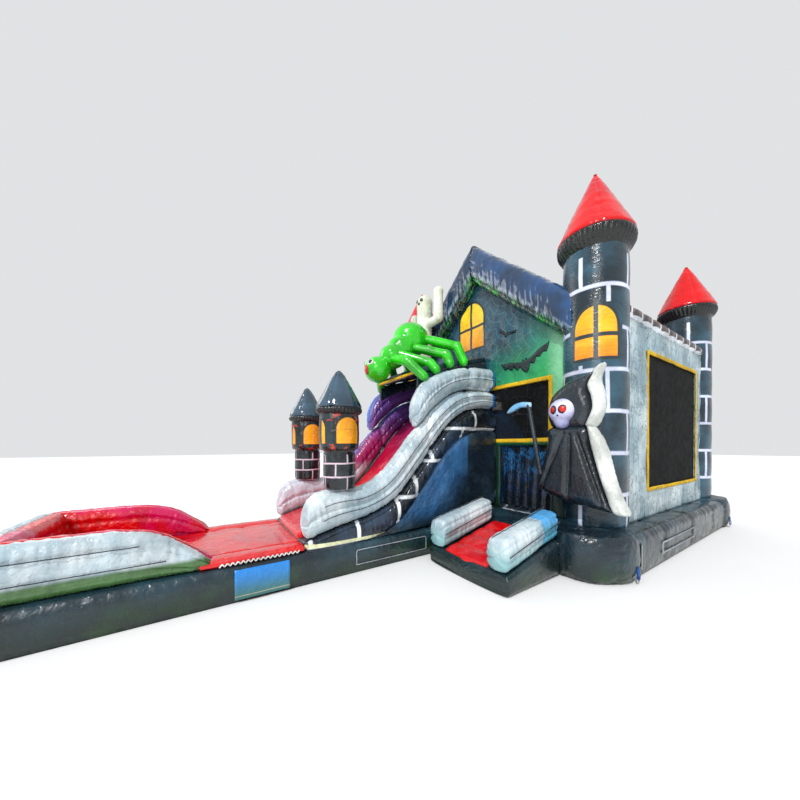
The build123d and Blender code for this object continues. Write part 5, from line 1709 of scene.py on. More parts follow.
class BOUNCE_OT_front(PieceOperator, bpy.types.Operator):
    """Printed front wall with its bats, and the two curtain flaps in the doorway"""

    bl_idname = "bounce.front"
    bl_label = "Front wall and curtain"

    def build(self, size):
        us = spaced(-1.70, 1.70, 0.035, (-0.91, 0.16, 0.244, 0.48, 1.377, 1.39))
        vs = spaced(0.49, 4.36, 0.035, (1.5, 1.58, 2.16, 2.465, 2.99))
        rise = math.tan(GABLE_SLOPE)

        def skip(u, v):
            window = 0.244 < u < 1.377 and 1.58 < v < 2.465
            door = 0.48 < u < 1.39 and v < 1.5
            slide_way = -0.91 < u < 0.16 and 2.16 < v < 2.99
            return window or door or slide_way or v > 4.40 - abs(u) * rise

        wall = panel(
            "front_wall_film", us, vs, on_end(FRONT_Y, -1), look("Front print"), 0.045, skip,
            film_folds(size, 101)
        )
        settle(wall, nodes=("front_wall",))
        self.bats()
        self.curtain()

    def bats(self):
        """Flat bat shapes sewn on the wall, each with scalloped wings."""
        half = [
            (0.0, 0.055), (0.03, 0.10), (0.05, 0.06), (0.11, 0.075), (0.24, 0.13), (0.43, 0.17), (0.40, 0.10),
            (0.37, 0.045), (0.31, 0.06), (0.26, 0.0), (0.20, 0.03), (0.15, -0.05), (0.09, -0.015),
            (0.05, -0.09), (0.0, -0.13)
        ]
        outline = half + [(-x, z) for x, z in half[-2:0:-1]]
        bats = []
        for k, (x, z, grow, turn) in enumerate(
            ((0.965, 2.735, 1.0, 0.18), (0.62, 3.30, 0.42, -0.3), (-1.25, 2.55, 0.5, 0.25))
        ):
            c, s = math.cos(turn), math.sin(turn)
            shape = [(x + grow * (a * c - b * s), z + grow * (a * s + b * c)) for a, b in outline]
            bats.append(
                puffed(
                    f"bat_{k}", shape, FRONT_Y - 0.034, 0.010, look("Black print"), step=0.016, shoulder=0.02,
                    seed=110 + k, depth=0.002, curved=False
                )
            )
        settle(join("sewn_bats", *bats))

    def curtain(self):
        """Each flap is a hanging sheet with soft upright folds, and a hem sewn round its rod."""
        for name, x0, x1 in (("left", 0.486, 0.932), ("right", 0.938, 1.384)):
            us, vs = np.linspace(x0, x1, 48), np.linspace(0.532, 1.476, 60)

            def place(u, v, lift, x0=x0):
                drop = (1.476 - v) / 0.944
                fold = 0.012 * np.sin((u - x0) * TAU / 0.15 + 1.2 * np.sin(v * 3)) * drop**0.7
                fold = fold + 0.005 * rough_field(np.stack([u * 2, v, v * 0], -1), 5.0, 120) * drop
                return u, CURTAIN_Y + fold, v

            flap = panel(f"door_curtain_{name}", us, vs, place, look("Curtain print"), 0.004)
            rod = chamber(
                f"hem_{name}", *bar((x0, CURTAIN_Y), (x1, CURTAIN_Y), 1.470, 1.494), (0, 0.012, 0),
                look("Curtain print"), power=2.0, dome=0.006, turns=20, step=0.02, depth=0.001, seams=(),
                crumple=0.0006, seed=121
            )
            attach(rod, f"door_flap_{name}")
            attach(flap, f"door_flap_{name}")
            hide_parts(f"door_flap_{name}")


class BOUNCE_OT_gable(PieceOperator, bpy.types.Operator):
    """Padded gable beams, roof sheets and the rear gable"""

    bl_idname = "bounce.gable"
    bl_label = "Gable and roof"

    def build(self, size):
        thick = 0.51 / math.cos(GABLE_SLOPE)
        rise = math.tan(GABLE_SLOPE)
        foot, peak = 1.80, 4.36
        for side, name in ((1, "right"), (-1, "left")):
            low = [(side * -0.02, -2.0, peak), (side * foot, -2.0, peak - foot * rise)]
            high = [(x, y, z + thick) for x, y, z in low]
            beam = chamber(
                f"gable_beam_{name}_skin", low, high, (0, 0.205, 0), look("Gable vinyl"), power=3.4,
                dome=0.02, depth=size.pucker * 2.0, pitch=0.045, reach=0.12,
                seams=(0.02, 0.13, 0.87, 0.98, 0.5), crumple=0.008, seed=130 + side, step=0.02
            )
            settle(beam, nodes=(f"gable_beam_{name}",))
        sheets = []
        for side, name in ((1, "right"), (-1, "left")):
            us, vs = np.linspace(0.0, 2.12, 60), np.linspace(-1.80, 2.07, 90)

            def place(u, v, lift, side=side):
                sag = 0.03 * np.sin(np.pi * np.clip((v + 1.8) / 3.87, 0, 1)) * np.sin(
                    np.pi * np.clip(u / 2.12, 0, 1)
                )
                folds = 0.012 * (
                    1 - 2 * np.abs(rough_field(np.stack([u * 2.2, v * 0.8, u * 0], -1), 2.2, 140))
                )
                return side * u, v, 4.575 - ROOF_DROP * u - sag + folds

            sheets.append(panel(f"roof_sheet_{name}", us, vs, place, look("Shingle print"), 0.006))
        settle(sheets[0], nodes=("roof_panels",))
        settle(sheets[1])

        def on_gable(u, v, lift):
            return u, 2.045 + lift * 0.6, np.minimum(v, 4.55 - ROOF_DROP * np.abs(u))

        def past_roof(u, v):
            return v > 4.58 - ROOF_DROP * abs(u)

        us, vs = spaced(-2.1, 2.1, 0.05), spaced(3.29, 4.56, 0.05)
        gable = panel(
            "rear_gable_film", us, vs, on_gable, look("Stone print vinyl"), 0.03, past_roof,
            film_folds(size, 143)
        )
        settle(gable, nodes=("rear_gable",))


class BOUNCE_OT_ramp(PieceOperator, bpy.types.Operator):
    """Entrance ramp with its tread and two bolsters"""

    bl_idname = "bounce.ramp"
    bl_label = "Entrance ramp"

    def build(self, size):
        x = 1.2905
        base = chamber(
            "ramp_cushion", [(x, -3.622, 0), (x, -2.66, 0)], [(x, -3.622, 0.20), (x, -2.66, 0.45)],
            (0.628, 0, 0), look("Night vinyl"), power=9, dome=0.035, depth=size.pucker * 0.7, seed=150,
            flat_low=True
        )
        settle(base, nodes=("ramp_base",))

        def treads(rings, run):
            top = np.clip((rings[..., 2] - 0.14) / 0.05, 0, 1)
            return top * 0.014 * (np.abs(np.sin(run * math.pi / 0.24)) ** 0.6 - 1)

        tread = chamber(
            "ramp_tread", [(x, -3.60, 0.15), (x, -2.67, 0.40)], [(x, -3.60, 0.235), (x, -2.67, 0.475)],
            (0.335, 0, 0), look("Wet red vinyl"), power=9, dome=0.03, depth=0.006, seed=151, shape=treads
        )
        settle(tread)
        bolsters = []
        for k, bx in enumerate((0.812, 1.769)):
            low = [(bx, -3.628, 0.205), (bx, -2.665, 0.455)]
            high = [(bx, -3.628, 0.552), (bx, -2.665, 0.762)]
            bolster = chamber(
                f"bolster_{k}", low, high, (0.153, 0, 0), look("Ramp bolster vinyl"), power=3.4, dome=0.07,
                depth=size.pucker, pitch=0.04, reach=0.06, seams=(0.2, 0.34, 0.66, 0.8),
                ribs=(0.66,) if k else (), rib_depth=0.006, seed=152 + k, step=0.016
            )
            bolsters.append(bolster)
            for dx in (-0.155, 0.155):
                add_seam("dark", [(bx + dx, -3.58, 0.40), (bx + dx, -2.70, 0.63)])
            add_seam("dark", [(bx - 0.05, -3.60, 0.557), (bx - 0.05, -2.70, 0.757)])
        settle(join("ramp_side_bolsters", *bolsters), nodes=("ramp_bolsters",))


class BOUNCE_OT_slide(PieceOperator, bpy.types.Operator):
    """Slide body, lane, side rails, raised shoulders and canopy"""

    bl_idname = "bounce.slide"
    bl_label = "Slide"

    def build(self, size):
        under = [(y, z - 0.36) for y, z in TUBE_LOW]
        self.body(size, under)
        for k, (x, name) in enumerate(((0.315, "right"), (-1.065, "left"))):
            vinyl = look("Rail vinyl") if k == 0 else look("Far rail vinyl")
            rail = chamber(
                f"rail_{k}", lane(TUBE_LOW, x), lane(TUBE_TOP[:-1] + [(-5.15, 0.78)], x), (0.156, 0, 0),
                vinyl, power=2.5, dome=0.11, depth=size.pucker * 1.7, pitch=0.038, reach=0.06,
                seams=(0.08, 0.25, 0.42, 0.58, 0.75, 0.92), ribs=(0.66, 1.62), rib_depth=0.014, seed=160 + k,
                step=0.016
            )
            shoulder = chamber(
                f"shoulder_{k}", lane(UPPER_LOW, x), lane(UPPER_TOP, x), (0.156, 0, 0), vinyl, power=2.4,
                dome=0.13, depth=size.pucker * 1.7, pitch=0.038, reach=0.06,
                seams=(0.1, 0.27, 0.5, 0.73, 0.9), ribs=(0.62,), rib_depth=0.016, seed=164 + k, step=0.016
            )
            settle(join(f"slide_rail_{name}", rail, shoulder), nodes=(f"slide_bolster_{name}",))
            outer = 0.160 if k == 0 else -0.160
            for share in (0.36, 0.66):
                line = smooth_line(
                    [
                        (x + outer, yl + (yt - yl) * share, zl + (zt - zl) * share) for (yl, zl),
                        (yt, zt) in zip(TUBE_LOW, TUBE_TOP[:-1])
                    ],
                    60
                )
                add_seam("dark", line[:-3])
            shoulder_line = [
                (x + outer, yl + (yt - yl) * 0.45, zl + (zt - zl) * 0.45) for (yl, zl),
                (yt, zt) in zip(UPPER_LOW, UPPER_TOP)
            ]
            add_seam("dark", smooth_line(shoulder_line, 50)[:-8])

        def steps(rings, run):
            return 0.008 * rough_field(rings, 5.0, 171)

        bed_low = lane([(y, z - 0.02) for y, z in TUBE_LOW], LANE_X)
        bed_high = lane([(y, z + 0.062) for y, z in TUBE_LOW], LANE_X)
        bed = chamber(
            "slide_lane", bed_low, bed_high, (0.535, 0, 0), look("Wet red vinyl"), power=12, dome=0.03,
            depth=0.005, seed=170, shape=steps
        )
        settle(bed, nodes=("slide_bed",))
        self.canopy(size)

    def body(self, size, under):
        """The brick tubes and the closed body under the lane."""
        bricks = []
        for k, x in enumerate((0.36, -1.11)):
            bricks.append(
                chamber(
                    f"bricks_{k}", lane(under, x), lane(TUBE_LOW, x), (0.105, 0, 0), look("Brick tube print"),
                    power=2.2, dome=0.05, depth=size.pucker * 1.6, pitch=0.032, reach=0.08,
                    seams=(0.13, 0.87, 0.40, 0.60), seed=172 + k, step=0.018
                )
            )
        settle(join("slide_brick_tubes", *bricks))
        top = [(y, max(z - 0.32, 0.352)) for y, z in TUBE_LOW]
        low = [(-1.99, 0.50), (-2.41, 0.50), (-2.66, 0.36)]
        low += [(y, 0.34) for y in (-3.14, -3.5, -3.91, -4.3, -4.73, -5.15)]
        body = chamber(
            "slide_side_panels", lane(low, LANE_X), lane(top, LANE_X), (0.80, 0, 0), look("Side panel vinyl"),
            power=14, dome=0.02, turns=200, depth=size.pucker, seams=(0.02,), crumple=0.009, seed=175,
            step=0.03
        )
        centre = chamber(
            "core", lane(top, LANE_X), lane(TUBE_LOW, LANE_X), (0.72, 0, 0), look("Black print"), power=10,
            dome=0.02, turns=60, depth=0.004, seed=176, step=0.06
        )
        settle(join("slide_body_skin", body, centre), nodes=("slide_body",))

    def canopy(self, size):
        """The hood over the slide's head."""
        low = [(LANE_X, -1.99, 2.93), (LANE_X, -2.7, 2.745), (LANE_X, -3.48, 2.53)]
        high = [(LANE_X, -1.99, 3.055), (LANE_X, -2.7, 2.88), (LANE_X, -3.48, 2.655)]
        hood = chamber(
            "hood", low, high, (0.585, 0, 0), look("Night vinyl"), power=5, dome=0.05, depth=size.pucker,
            ribs=(0.4, 0.8, 1.2), rib_depth=0.012, seed=180
        )
        webs = []
        for k, x in enumerate((0.182, -0.932)):
            low = [(x, -1.99, 2.67), (x, -2.7, 2.58), (x, -3.2, 2.42), (x, -3.46, 2.28)]
            high = [(x, -1.99, 2.95), (x, -2.7, 2.76), (x, -3.2, 2.62), (x, -3.46, 2.55)]
            webs.append(
                chamber(
                    f"web_{k}", low, high, (0.022, 0, 0), look("Night vinyl"), power=3, dome=0.02,
                    depth=0.004, seed=182 + k
                )
            )
        edge = chamber(
            "edge", *bar((-0.96, -3.49), (0.21, -3.49), 2.548, 2.60), (0, 0.02, 0), look("Yellow webbing"),
            power=2.2, dome=0.02, turns=20, depth=0.003, seed=185
        )
        settle(join("slide_canopy_skin", hood, edge, *webs), nodes=("slide_canopy",))


class BOUNCE_OT_turrets(PieceOperator, bpy.types.Operator):
    """Two small turrets on the ends of the slide's rails"""

    bl_idname = "bounce.turrets"
    bl_label = "Exit turrets"

    def build(self, size):
        shafts, roofs = [], []
        for k, x in enumerate((0.305, -1.055)):
            shaft = [
                (0.10, 0.985), (0.16, 0.985), (0.184, 1.0), (0.190, 1.05), (0.192, 1.2), (0.190, 1.40),
                (0.186, 1.432), (0.200, 1.447), (0.228, 1.462), (0.234, 1.52), (0.236, 1.68), (0.234, 1.84),
                (0.226, 1.895), (0.18, 1.91)
            ]
            shafts.append(
                turned(
                    f"shaft_{k}", (x, TURRET_Y), shaft, look("Turret print"), turns=130, seams=4,
                    edges=(1.44, 1.9), depth=size.pucker * 0.6, pitch=0.03, reach=0.04, seed=190 + k,
                    crumple=0.002, start=-1.35
                )
            )
            rim = [(0.222, 1.872), (0.252, 1.885), (0.272, 1.912), (0.270, 1.94), (0.25, 1.952)]
            shafts.append(
                turned(
                    f"rim_{k}", (x, TURRET_Y), rim, look("Collar vinyl"), turns=200,
                    pleats=(40, 0.009, 1.87, 1.95), seed=194 + k
                )
            )
            roof = [
                (0.24, 1.938), (0.262, 1.945), (0.268, 1.965), (0.255, 2.005), (0.16, 2.19), (0.06, 2.37),
                (0.02, 2.42), (0.003, 2.432)
            ]
            roofs.append(
                turned(
                    f"cone_{k}", (x, TURRET_Y), roof, look("Turret roof vinyl"), turns=110, seams=4,
                    edges=(1.94,), depth=size.pucker * 0.6, pitch=0.03, reach=0.05, seed=196 + k
                )
            )
        settle(join("exit_turret_shafts", *shafts), nodes=("exit_turrets",))
        settle(join("exit_turret_cones", *roofs), nodes=("exit_turret_roofs",))


class BOUNCE_OT_pool(PieceOperator, bpy.types.Operator):
    """Splash pool: base, liner and the bolsters round it"""

    bl_idname = "bounce.pool"
    bl_label = "Splash pool"

    def build(self, size):
        base = self.base(size)
        settle(base, nodes=("pool_base",))

        def dimples(rings, run):
            top = np.clip((rings[..., 2] - 0.36) / 0.02, 0, 1)
            return top * 0.014 * (np.abs(np.sin(rings[..., 1] * math.pi / 0.33)) ** 0.5 - 1)

        liner = chamber(
            "pool_lining", *bar((LANE_X, -7.25), (LANE_X, -5.10), 0.335, 0.402), (0.545, 0, 0),
            look("Wet red vinyl"), power=14, dome=0.02, depth=0.006, seed=202, shape=dimples
        )
        settle(liner, nodes=("pool_liner",))
        for k, (name, x) in enumerate((("right", 0.305), ("left", -1.055))):
            low = [(x, y, 0.335) for y in (-7.50, -7.2, -6.9, -6.6, -6.35, -6.1, -5.97)]
            top = [
                (-7.50, 0.80), (-7.2, 0.80), (-6.9, 0.80), (-6.6, 0.79), (-6.35, 0.715), (-6.12, 0.55),
                (-5.97, 0.43)
            ]
            high = lane(top, x)
            wall = chamber(
                f"wall_{k}", low, high, (0.148, 0, 0), look("Pool wall vinyl"), power=3.0, dome=0.09,
                depth=size.pucker * 1.3, pitch=0.05, reach=0.08, seams=(0.17, 0.31, 0.5, 0.69, 0.83),
                seed=204 + k, step=0.018
            )
            lip = chamber(
                f"lip_{k}", *bar((x, -6.1), (x, -5.12), 0.33, 0.415), (0.14, 0, 0), look("Wet red vinyl"),
                power=2.6, dome=0.03, depth=0.01, pitch=0.035, reach=0.05, seed=207 + k, step=0.018
            )
            settle(join(f"pool_wall_{name}", wall, lip), nodes=(f"pool_bolster_{name}",))
            out = 0.152 if k == 0 else -0.152
            for z in (0.50, 0.66):
                add_seam(
                    "dark",
                    [
                        (x + out * (1.0 if z < 0.6 else 0.985), y, z) for y in np.linspace(
                            -7.42, -6.32 - (z - 0.5) * 1.1, 24
                        )
                    ]
                )
            self.lacing(x + out * 1.02, k)
        end = chamber(
            "pool_wall_end", *bar((-1.10, -7.395), (0.35, -7.395), 0.335, 0.80), (0, 0.148, 0),
            look("Pool wall vinyl"), power=3.0, dome=0.1, depth=size.pucker * 1.3,
            seams=(0.17, 0.31, 0.5, 0.69, 0.83), seed=210, step=0.018
        )
        settle(end, nodes=("pool_bolster_end",))

    def base(self, size):
        """A rounded footprint carried up in rings, so its corners and top edge are full."""
        path = [(0.495, -2.70), (0.495, -4.0), (0.495, -5.6), (0.495, -7.22)]
        turn = np.linspace(0, -math.pi / 2, 12)
        path += [(0.135 + 0.36 * math.cos(a), -7.22 + 0.36 * math.sin(a)) for a in turn[1:]]
        path += [
            (-0.885 + 0.36 * math.cos(a), -7.22 + 0.36 * math.sin(a)) for a in np.linspace(
                -math.pi / 2, -math.pi, 12
            )
        ]
        path += [(-1.245, -5.6), (-1.245, -4.0), (-1.245, -2.70), (-0.9, -2.672), (0.15, -2.672)]
        path = np.array(path + path[:1])
        run = np.concatenate([[0], np.cumsum(np.linalg.norm(np.diff(path, axis=0), axis=1))])
        want = np.linspace(0, run[-1], 520, endpoint=False)
        ring = np.stack([np.interp(want, run, path[:, 0]), np.interp(want, run, path[:, 1])], -1)
        middle = np.array([LANE_X, -5.1])
        levels = [
            (0.3, 0.0), (0.03, 0.0), (0.012, 0.02), (-0.004, 0.06), (-0.010, 0.12), (-0.012, 0.18),
            (-0.008, 0.24), (0.004, 0.29), (0.026, 0.325), (0.07, 0.342), (0.3, 0.345), (0.7, 0.345)
        ]
        levels = smooth_line(levels, 46)
        normal2 = np.roll(ring, -1, axis=0) - np.roll(ring, 1, axis=0)
        normal2 = np.stack([normal2[:, 1], -normal2[:, 0]], -1)
        normal2 /= np.linalg.norm(normal2, axis=1, keepdims=True)
        if ((ring - middle) * normal2).sum() > 0:
            normal2 = -normal2
        rings = np.stack(
            [np.column_stack([ring + normal2 * inset, np.full(len(ring), z)]) for inset, z in levels]
        )
        s = np.broadcast_to(want[None, :], rings.shape[:2])
        tall = rings[..., 2]
        move = -size.pucker * gather(s, np.abs(tall - 0.33), 0.05, 0.07, 200) - size.pucker * 0.8 * gather(
            s, np.abs(tall - 0.02), 0.05, 0.05, 201
        )
        move = move + 0.006 * rough_field(rings, 5.0, 203)
        rings[..., :2] -= normal2[None] * move[..., None] * (levels[:, 1] > 0.005)[:, None, None]
        return rings_mesh("pool_base_tube", rings, look("Night vinyl"))

    def lacing(self, x, k):
        """A laced edge along the low lip: a cord that zigzags up and down along it."""
        ys = np.linspace(-5.93, -5.2, 34)
        cord = [(x, y, 0.355 + (0.028 if i % 2 else 0.0)) for i, y in enumerate(ys)]
        piece = bead_rig().grow(
            f"lip_lacing_{k}", line_mesh("lace", [cord]), Radius=0.007, Sides=8, Pitch=0.008, Waver=0.004,
            Material=look("White trim")
        )
        settle(piece)


class BOUNCE_OT_inside(PieceOperator, bpy.types.Operator):
    """Padded climb with its holds, and the hoop on the rear wall"""

    bl_idname = "bounce.inside"
    bl_label = "Climb and hoop"

    def build(self, size):
        low = [(LANE_X, -1.92, 0.45), (LANE_X, -1.37, 0.45), (LANE_X, -0.75, 0.45), (LANE_X, -0.14, 0.45)]
        high = [(LANE_X, -1.92, 2.095), (LANE_X, -1.40, 2.095), (LANE_X, -0.75, 1.30), (LANE_X, -0.14, 0.475)]
        body = chamber(
            "climb_cushion", low, high, (0.68, 0, 0), look("Blue vinyl"), power=12, dome=0.02, turns=150,
            depth=size.pucker, seed=220, step=0.03
        )
        settle(body, nodes=("climb_wall",))
        roll = chamber(
            "roll", *bar((LANE_X - 0.56, 0), (LANE_X + 0.56, 0), -0.062, 0.062), (0, 0.062, 0),
            look("Orange vinyl"), power=2.1, dome=0.06, turns=28, depth=0.006, seams=(0.5,), reach=0.03,
            seed=221, step=0.05
        )
        points = bpy.data.meshes.new("hold_places")
        share = [(k + 1) / 5 for k in range(4)]
        points.from_pydata([(0, -0.12 - 1.25 * s, 0.45 + 1.65 * s) for s in share], [], [])
        holds = row_rig().grow(
            "climb_rolls", points, Piece=roll, Least_size=0.97, Most_size=1.0, Seed=4,
            Material=look("Orange vinyl")
        )
        bpy.data.objects.remove(roll)
        settle(holds, nodes=("climb_holds",))
        board = chamber(
            "hoop_cushion", *bar((-0.005, 2.01), (0.605, 2.01), 2.086, 2.555), (0, 0.029, 0),
            look("White trim"), power=6, dome=0.02, depth=0.004, seed=224
        )
        settle(board, nodes=("hoop_board",))
        net = []
        for k in range(24):
            line = []
            for t in np.linspace(0, 1, 12):
                angle = TAU * (k / 24) + (t * 1.1 if k % 2 else -t * 1.1)
                radius = 0.2 - 0.085 * t
                line.append(
                    (0.30 + radius * math.cos(angle), 1.74 + radius * math.sin(angle), 2.235 - 0.33 * t)
                )
            net.append(line)
        cords = bead_rig().grow(
            "hoop_net", line_mesh("hoop", net), Radius=0.0025, Sides=5, Pitch=0.03, Waver=0.0,
            Material=look("White trim")
        )
        settle(cords)
        paint_nodes({"hoop_ring": "Orange vinyl"})


class BOUNCE_OT_spider(PieceOperator, bpy.types.Operator):
    """A plain green spider over the slide, with four legs to each side"""

    bl_idname = "bounce.spider"
    bl_label = "Spider"

    def build(self, size):
        cx, cy, cz = LANE_X, -3.48, 2.93
        head, thorax, waist, belly = [
            (cx, cy + y, cz + z) for y, z in ((-0.33, -0.25), (-0.06, -0.01), (0.12, 0.15), (0.30, 0.33))
        ]
        seams = [
            (
                [
                    (cx - 0.2, cy - 0.19, cz - 0.10), (cx, cy - 0.19, cz - 0.02),
                    (cx + 0.2, cy - 0.19, cz - 0.10)
                ],
                0.06
            ),
            ([(cx, cy + 0.58, cz + 0.25), (cx, cy + 0.35, cz + 0.62), (cx, cy + 0.05, cz + 0.40)], 0.07)
        ]
        body = blob(
            "spider_skin",
            [
                (head, (0.215, 0.20, 0.205), None), (thorax, (0.22, 0.21, 0.195), None),
                (waist, (0.25, 0.24, 0.215), None), (belly, (0.29, 0.30, 0.28), None)
            ],
            look("Leaf vinyl"), voxel=0.014, smooth=4, wrinkle=0.003, seed=230, seams=seams
        )
        settle(body, nodes=("spider_body",))
        lines = [
            ((0.10, -0.13, -0.07), (0.42, -0.06, -0.17), (0.64, 0.09, -0.42)),
            ((0.12, -0.06, 0.02), (0.535, 0.29, -0.18), (0.645, 0.31, -0.29)),
            ((0.12, 0.16, 0.17), (0.535, 0.61, 0.01), (0.645, 0.59, -0.16)),
            ((0.12, 0.33, 0.35), (0.535, 0.84, 0.18), (0.645, 0.88, -0.09))
        ]
        legs = []
        for side in (1, -1):
            for k, (hip, knee, foot) in enumerate(lines):
                a, b, c = [(cx + side * x, cy + y, cz + z) for x, y, z in (hip, knee, foot)]
                legs.append(
                    blob(
                        f"leg_{side}_{k}",
                        [(a, (0.070, 0.079), b), (b, 0.083, None), (b, (0.080, 0.072), c), (c, 0.073, None)],
                        look("Leaf vinyl"), voxel=0.014, smooth=2, wrinkle=0.002, seed=240 + k,
                        seams=[
                            ([tuple(np.add(b, (0, -0.07, 0.07))), tuple(np.add(b, (0, 0.07, -0.07)))], 0.05)
                        ]
                    )
                )
        settle(join("spider_leg_skins", *legs), nodes=("spider_legs",))
        self.face(head)

    def face(self, head):
        """Two white eyes with dark middles and a plain mouth, sewn on the head."""
        discs = []
        for side in (-1, 1):
            for radius, lift, paint in ((0.052, 0.0, "White trim"), (0.036, 0.010, "Black print")):
                discs.append(
                    cap_disc(
                        f"eye_{side}_{paint[:5]}", head, 0.205 + lift * 0.35, (side * 0.40 + 0.10, 0.42),
                        radius, look(paint)
                    )
                )
        discs.append(cap_disc("mouth", head, 0.206, (0.10, -0.16), 0.040, look("Ember print"), squash=1.9))
        settle(join("spider_face", *discs))


def cap_disc(name, centre, radius, aim, reach, material, squash=1.0):
    """A thin round patch that lies on a ball, aimed by its turn to the side and up."""
    side, up = aim
    rings = []
    for lift, grow in ((-0.012, 1.0), (0.002, 1.0), (0.006, 0.93), (0.008, 0.6), (0.009, 0.2), (0.009, 0.02)):
        ring = []
        for angle in np.linspace(0, TAU, 32, endpoint=False):
            a = side + reach * grow * math.cos(angle) / radius
            b = up + reach * grow * squash * math.sin(angle) / radius
            r = radius + lift
            ring.append(
                (
                    centre[0] + r * math.sin(a) * math.cos(b), centre[1] - r * math.cos(a) * math.cos(b),
                    centre[2] + r * math.sin(b)
                )
            )
        rings.append(ring)
    return rings_mesh(name, np.array(rings), material)


class BOUNCE_OT_figures(PieceOperator, bpy.types.Operator):
    """The hooded figure with its scythe, and the ghost"""

    bl_idname = "bounce.figures"
    bl_label = "Hooded figure and ghost"

    def build(self, size):
        robe = [
            (-0.484, 0.95), (-0.30, 0.86), (-0.06, 0.80), (0.25, 0.77), (0.46, 0.765), (0.38, 0.95),
            (0.30, 1.2), (0.22, 1.5), (0.16, 1.73), (-0.28, 1.73), (-0.33, 1.5), (-0.40, 1.25)
        ]
        robe = [(1.88 + x, z) for x, z in robe]
        folds = [
            [(1.80, 1.65), (1.62, 1.25), (1.50, 0.95)], [(1.87, 1.62), (1.86, 1.2), (1.84, 0.84)],
            [(1.96, 1.62), (2.10, 1.2), (2.22, 0.85)]
        ]
        body = puffed(
            "robe_skin", robe, -2.317, 0.122, look("Robe vinyl"), step=0.015, shoulder=0.13, seams=folds,
            seed=250, depth=0.018
        )
        edge = puffed(
            "robe_edge",
            [
                (2.05, 1.74), (2.13, 1.73), (2.26, 1.50), (2.35, 1.15), (2.42, 0.93), (2.49, 0.762),
                (2.34, 0.758), (2.26, 0.95), (2.18, 1.2), (2.10, 1.5)
            ],
            -2.345, 0.09, look("White trim"), step=0.015, shoulder=0.06, seed=251, depth=0.008
        )
        settle(join("hooded_robe_skin", body, edge), nodes=("hooded_robe",))
        hood = [
            (-0.27, 1.73), (0.0, 1.70), (0.18, 1.73), (0.25, 1.95), (0.20, 2.15), (0.26, 2.36), (0.18, 2.335),
            (-0.06, 2.275), (-0.26, 2.12), (-0.315, 1.9)
        ]
        hood = [(1.88 + x, z) for x, z in hood]
        shell = puffed(
            "hood_skin", hood, -2.31, 0.135, look("Robe vinyl"), step=0.014, shoulder=0.12, seed=252,
            depth=0.02
        )
        trim = puffed(
            "hood_trim",
            [
                (2.06, 2.325), (2.235, 2.432), (2.19, 2.27), (2.225, 2.10), (2.235, 1.92), (2.15, 1.72),
                (2.04, 1.73), (2.11, 1.92), (2.10, 2.06), (2.06, 2.20), (2.12, 2.33)
            ],
            -2.335, 0.10, look("White trim"), step=0.014, shoulder=0.05, seed=253, depth=0.006
        )
        face = blob(
            "face_skin",
            [
                ((1.79, -2.42, 1.92), (0.165, 0.12, 0.155), None),
                ((1.79, -2.425, 1.79), (0.095, 0.085, 0.085), None)
            ],
            look("Bone vinyl"), voxel=0.01, smooth=4, wrinkle=0.0015, seed=254
        )
        details = []
        for side, x in ((-1, -0.062), (1, 0.068)):
            details.append(
                cap_disc(
                    f"socket_{side}", (1.79, -2.40, 1.93), 0.143, (x / 0.14, 0.02), 0.056, look("Black print")
                )
            )
            details.append(
                cap_disc(
                    f"eye_{side}", (1.79, -2.40, 1.93), 0.148, (x / 0.14, 0.02), 0.038, look("Ember print")
                )
            )
        details.append(
            cap_disc("nose", (1.79, -2.40, 1.93), 0.140, (0.02, -0.52), 0.016, look("Black print"))
        )
        settle(join("hooded_head_skin", shell, trim, face, *details), nodes=("hooded_head",))
        self.scythe()
        self.ghost()

    def scythe(self):
        """The hooded figure's long blade and its shaft."""
        top, foot = (1.38, -2.498, 2.03), (1.55, -2.498, 1.15)
        shaft = blob(
            "shaft", [(foot, (0.027, 0.027), top), (foot, 0.028, None), (top, 0.030, None)],
            look("Robe vinyl"), voxel=0.008, smooth=1, wrinkle=0.001, seed=260
        )
        outline = [
            (0.04, 0.035), (0.03, -0.03), (-0.12, -0.02), (-0.27, -0.075), (-0.352, -0.07), (-0.25, 0.025),
            (-0.11, 0.055)
        ]
        blade = puffed(
            "blade", [(top[0] + x, top[2] + z) for x, z in outline], -2.498, 0.024, look("Blade vinyl"),
            step=0.01, shoulder=0.03, seed=261, depth=0.002
        )
        settle(join("scythe_skin", shaft, blade), nodes=("scythe",))

    def ghost(self):
        """The pale figure with raised arms."""
        x, y = -1.08, -2.367
        parts = [((x, y, 4.335), (0.165, 0.16, 0.17), None), ((x, y, 3.05), (0.13, 0.16), (x, y, 4.3))]
        for side, low, high in ((0.43, 3.90, 4.43), (-0.33, 3.80, 4.15)):
            elbow = (x + side, y, low)
            parts += [
                ((x, y, low), (0.095, 0.085), elbow), (elbow, 0.09, None),
                (elbow, (0.092, 0.09), (x + side, y, high)), ((x + side, y, high - 0.02), 0.1, None)
            ]
        skin = blob(
            "skin", parts, look("Ghost vinyl"), voxel=0.015, smooth=4, wrinkle=0.003, seed=262,
            seams=[
                ([(x - 0.17, y, 3.05), (x - 0.17, y, 4.2)], 0.05),
                ([(x + 0.17, y, 3.05), (x + 0.17, y, 4.2)], 0.05)
            ]
        )
        face = [
            cap_disc(
                f"ghost_eye_{s}", (x, y, 4.335), 0.162, (s * 0.42 + 0.1, 0.15), 0.034, look("Black print")
            ) for s in (-1, 1)
        ]
        face.append(
            cap_disc("ghost_mouth", (x, y, 4.335), 0.162, (0.1, -0.35), 0.03, look("Black print"), squash=1.4)
        )
        settle(join("ghost_skin", skin, *face), nodes=("ghost",))


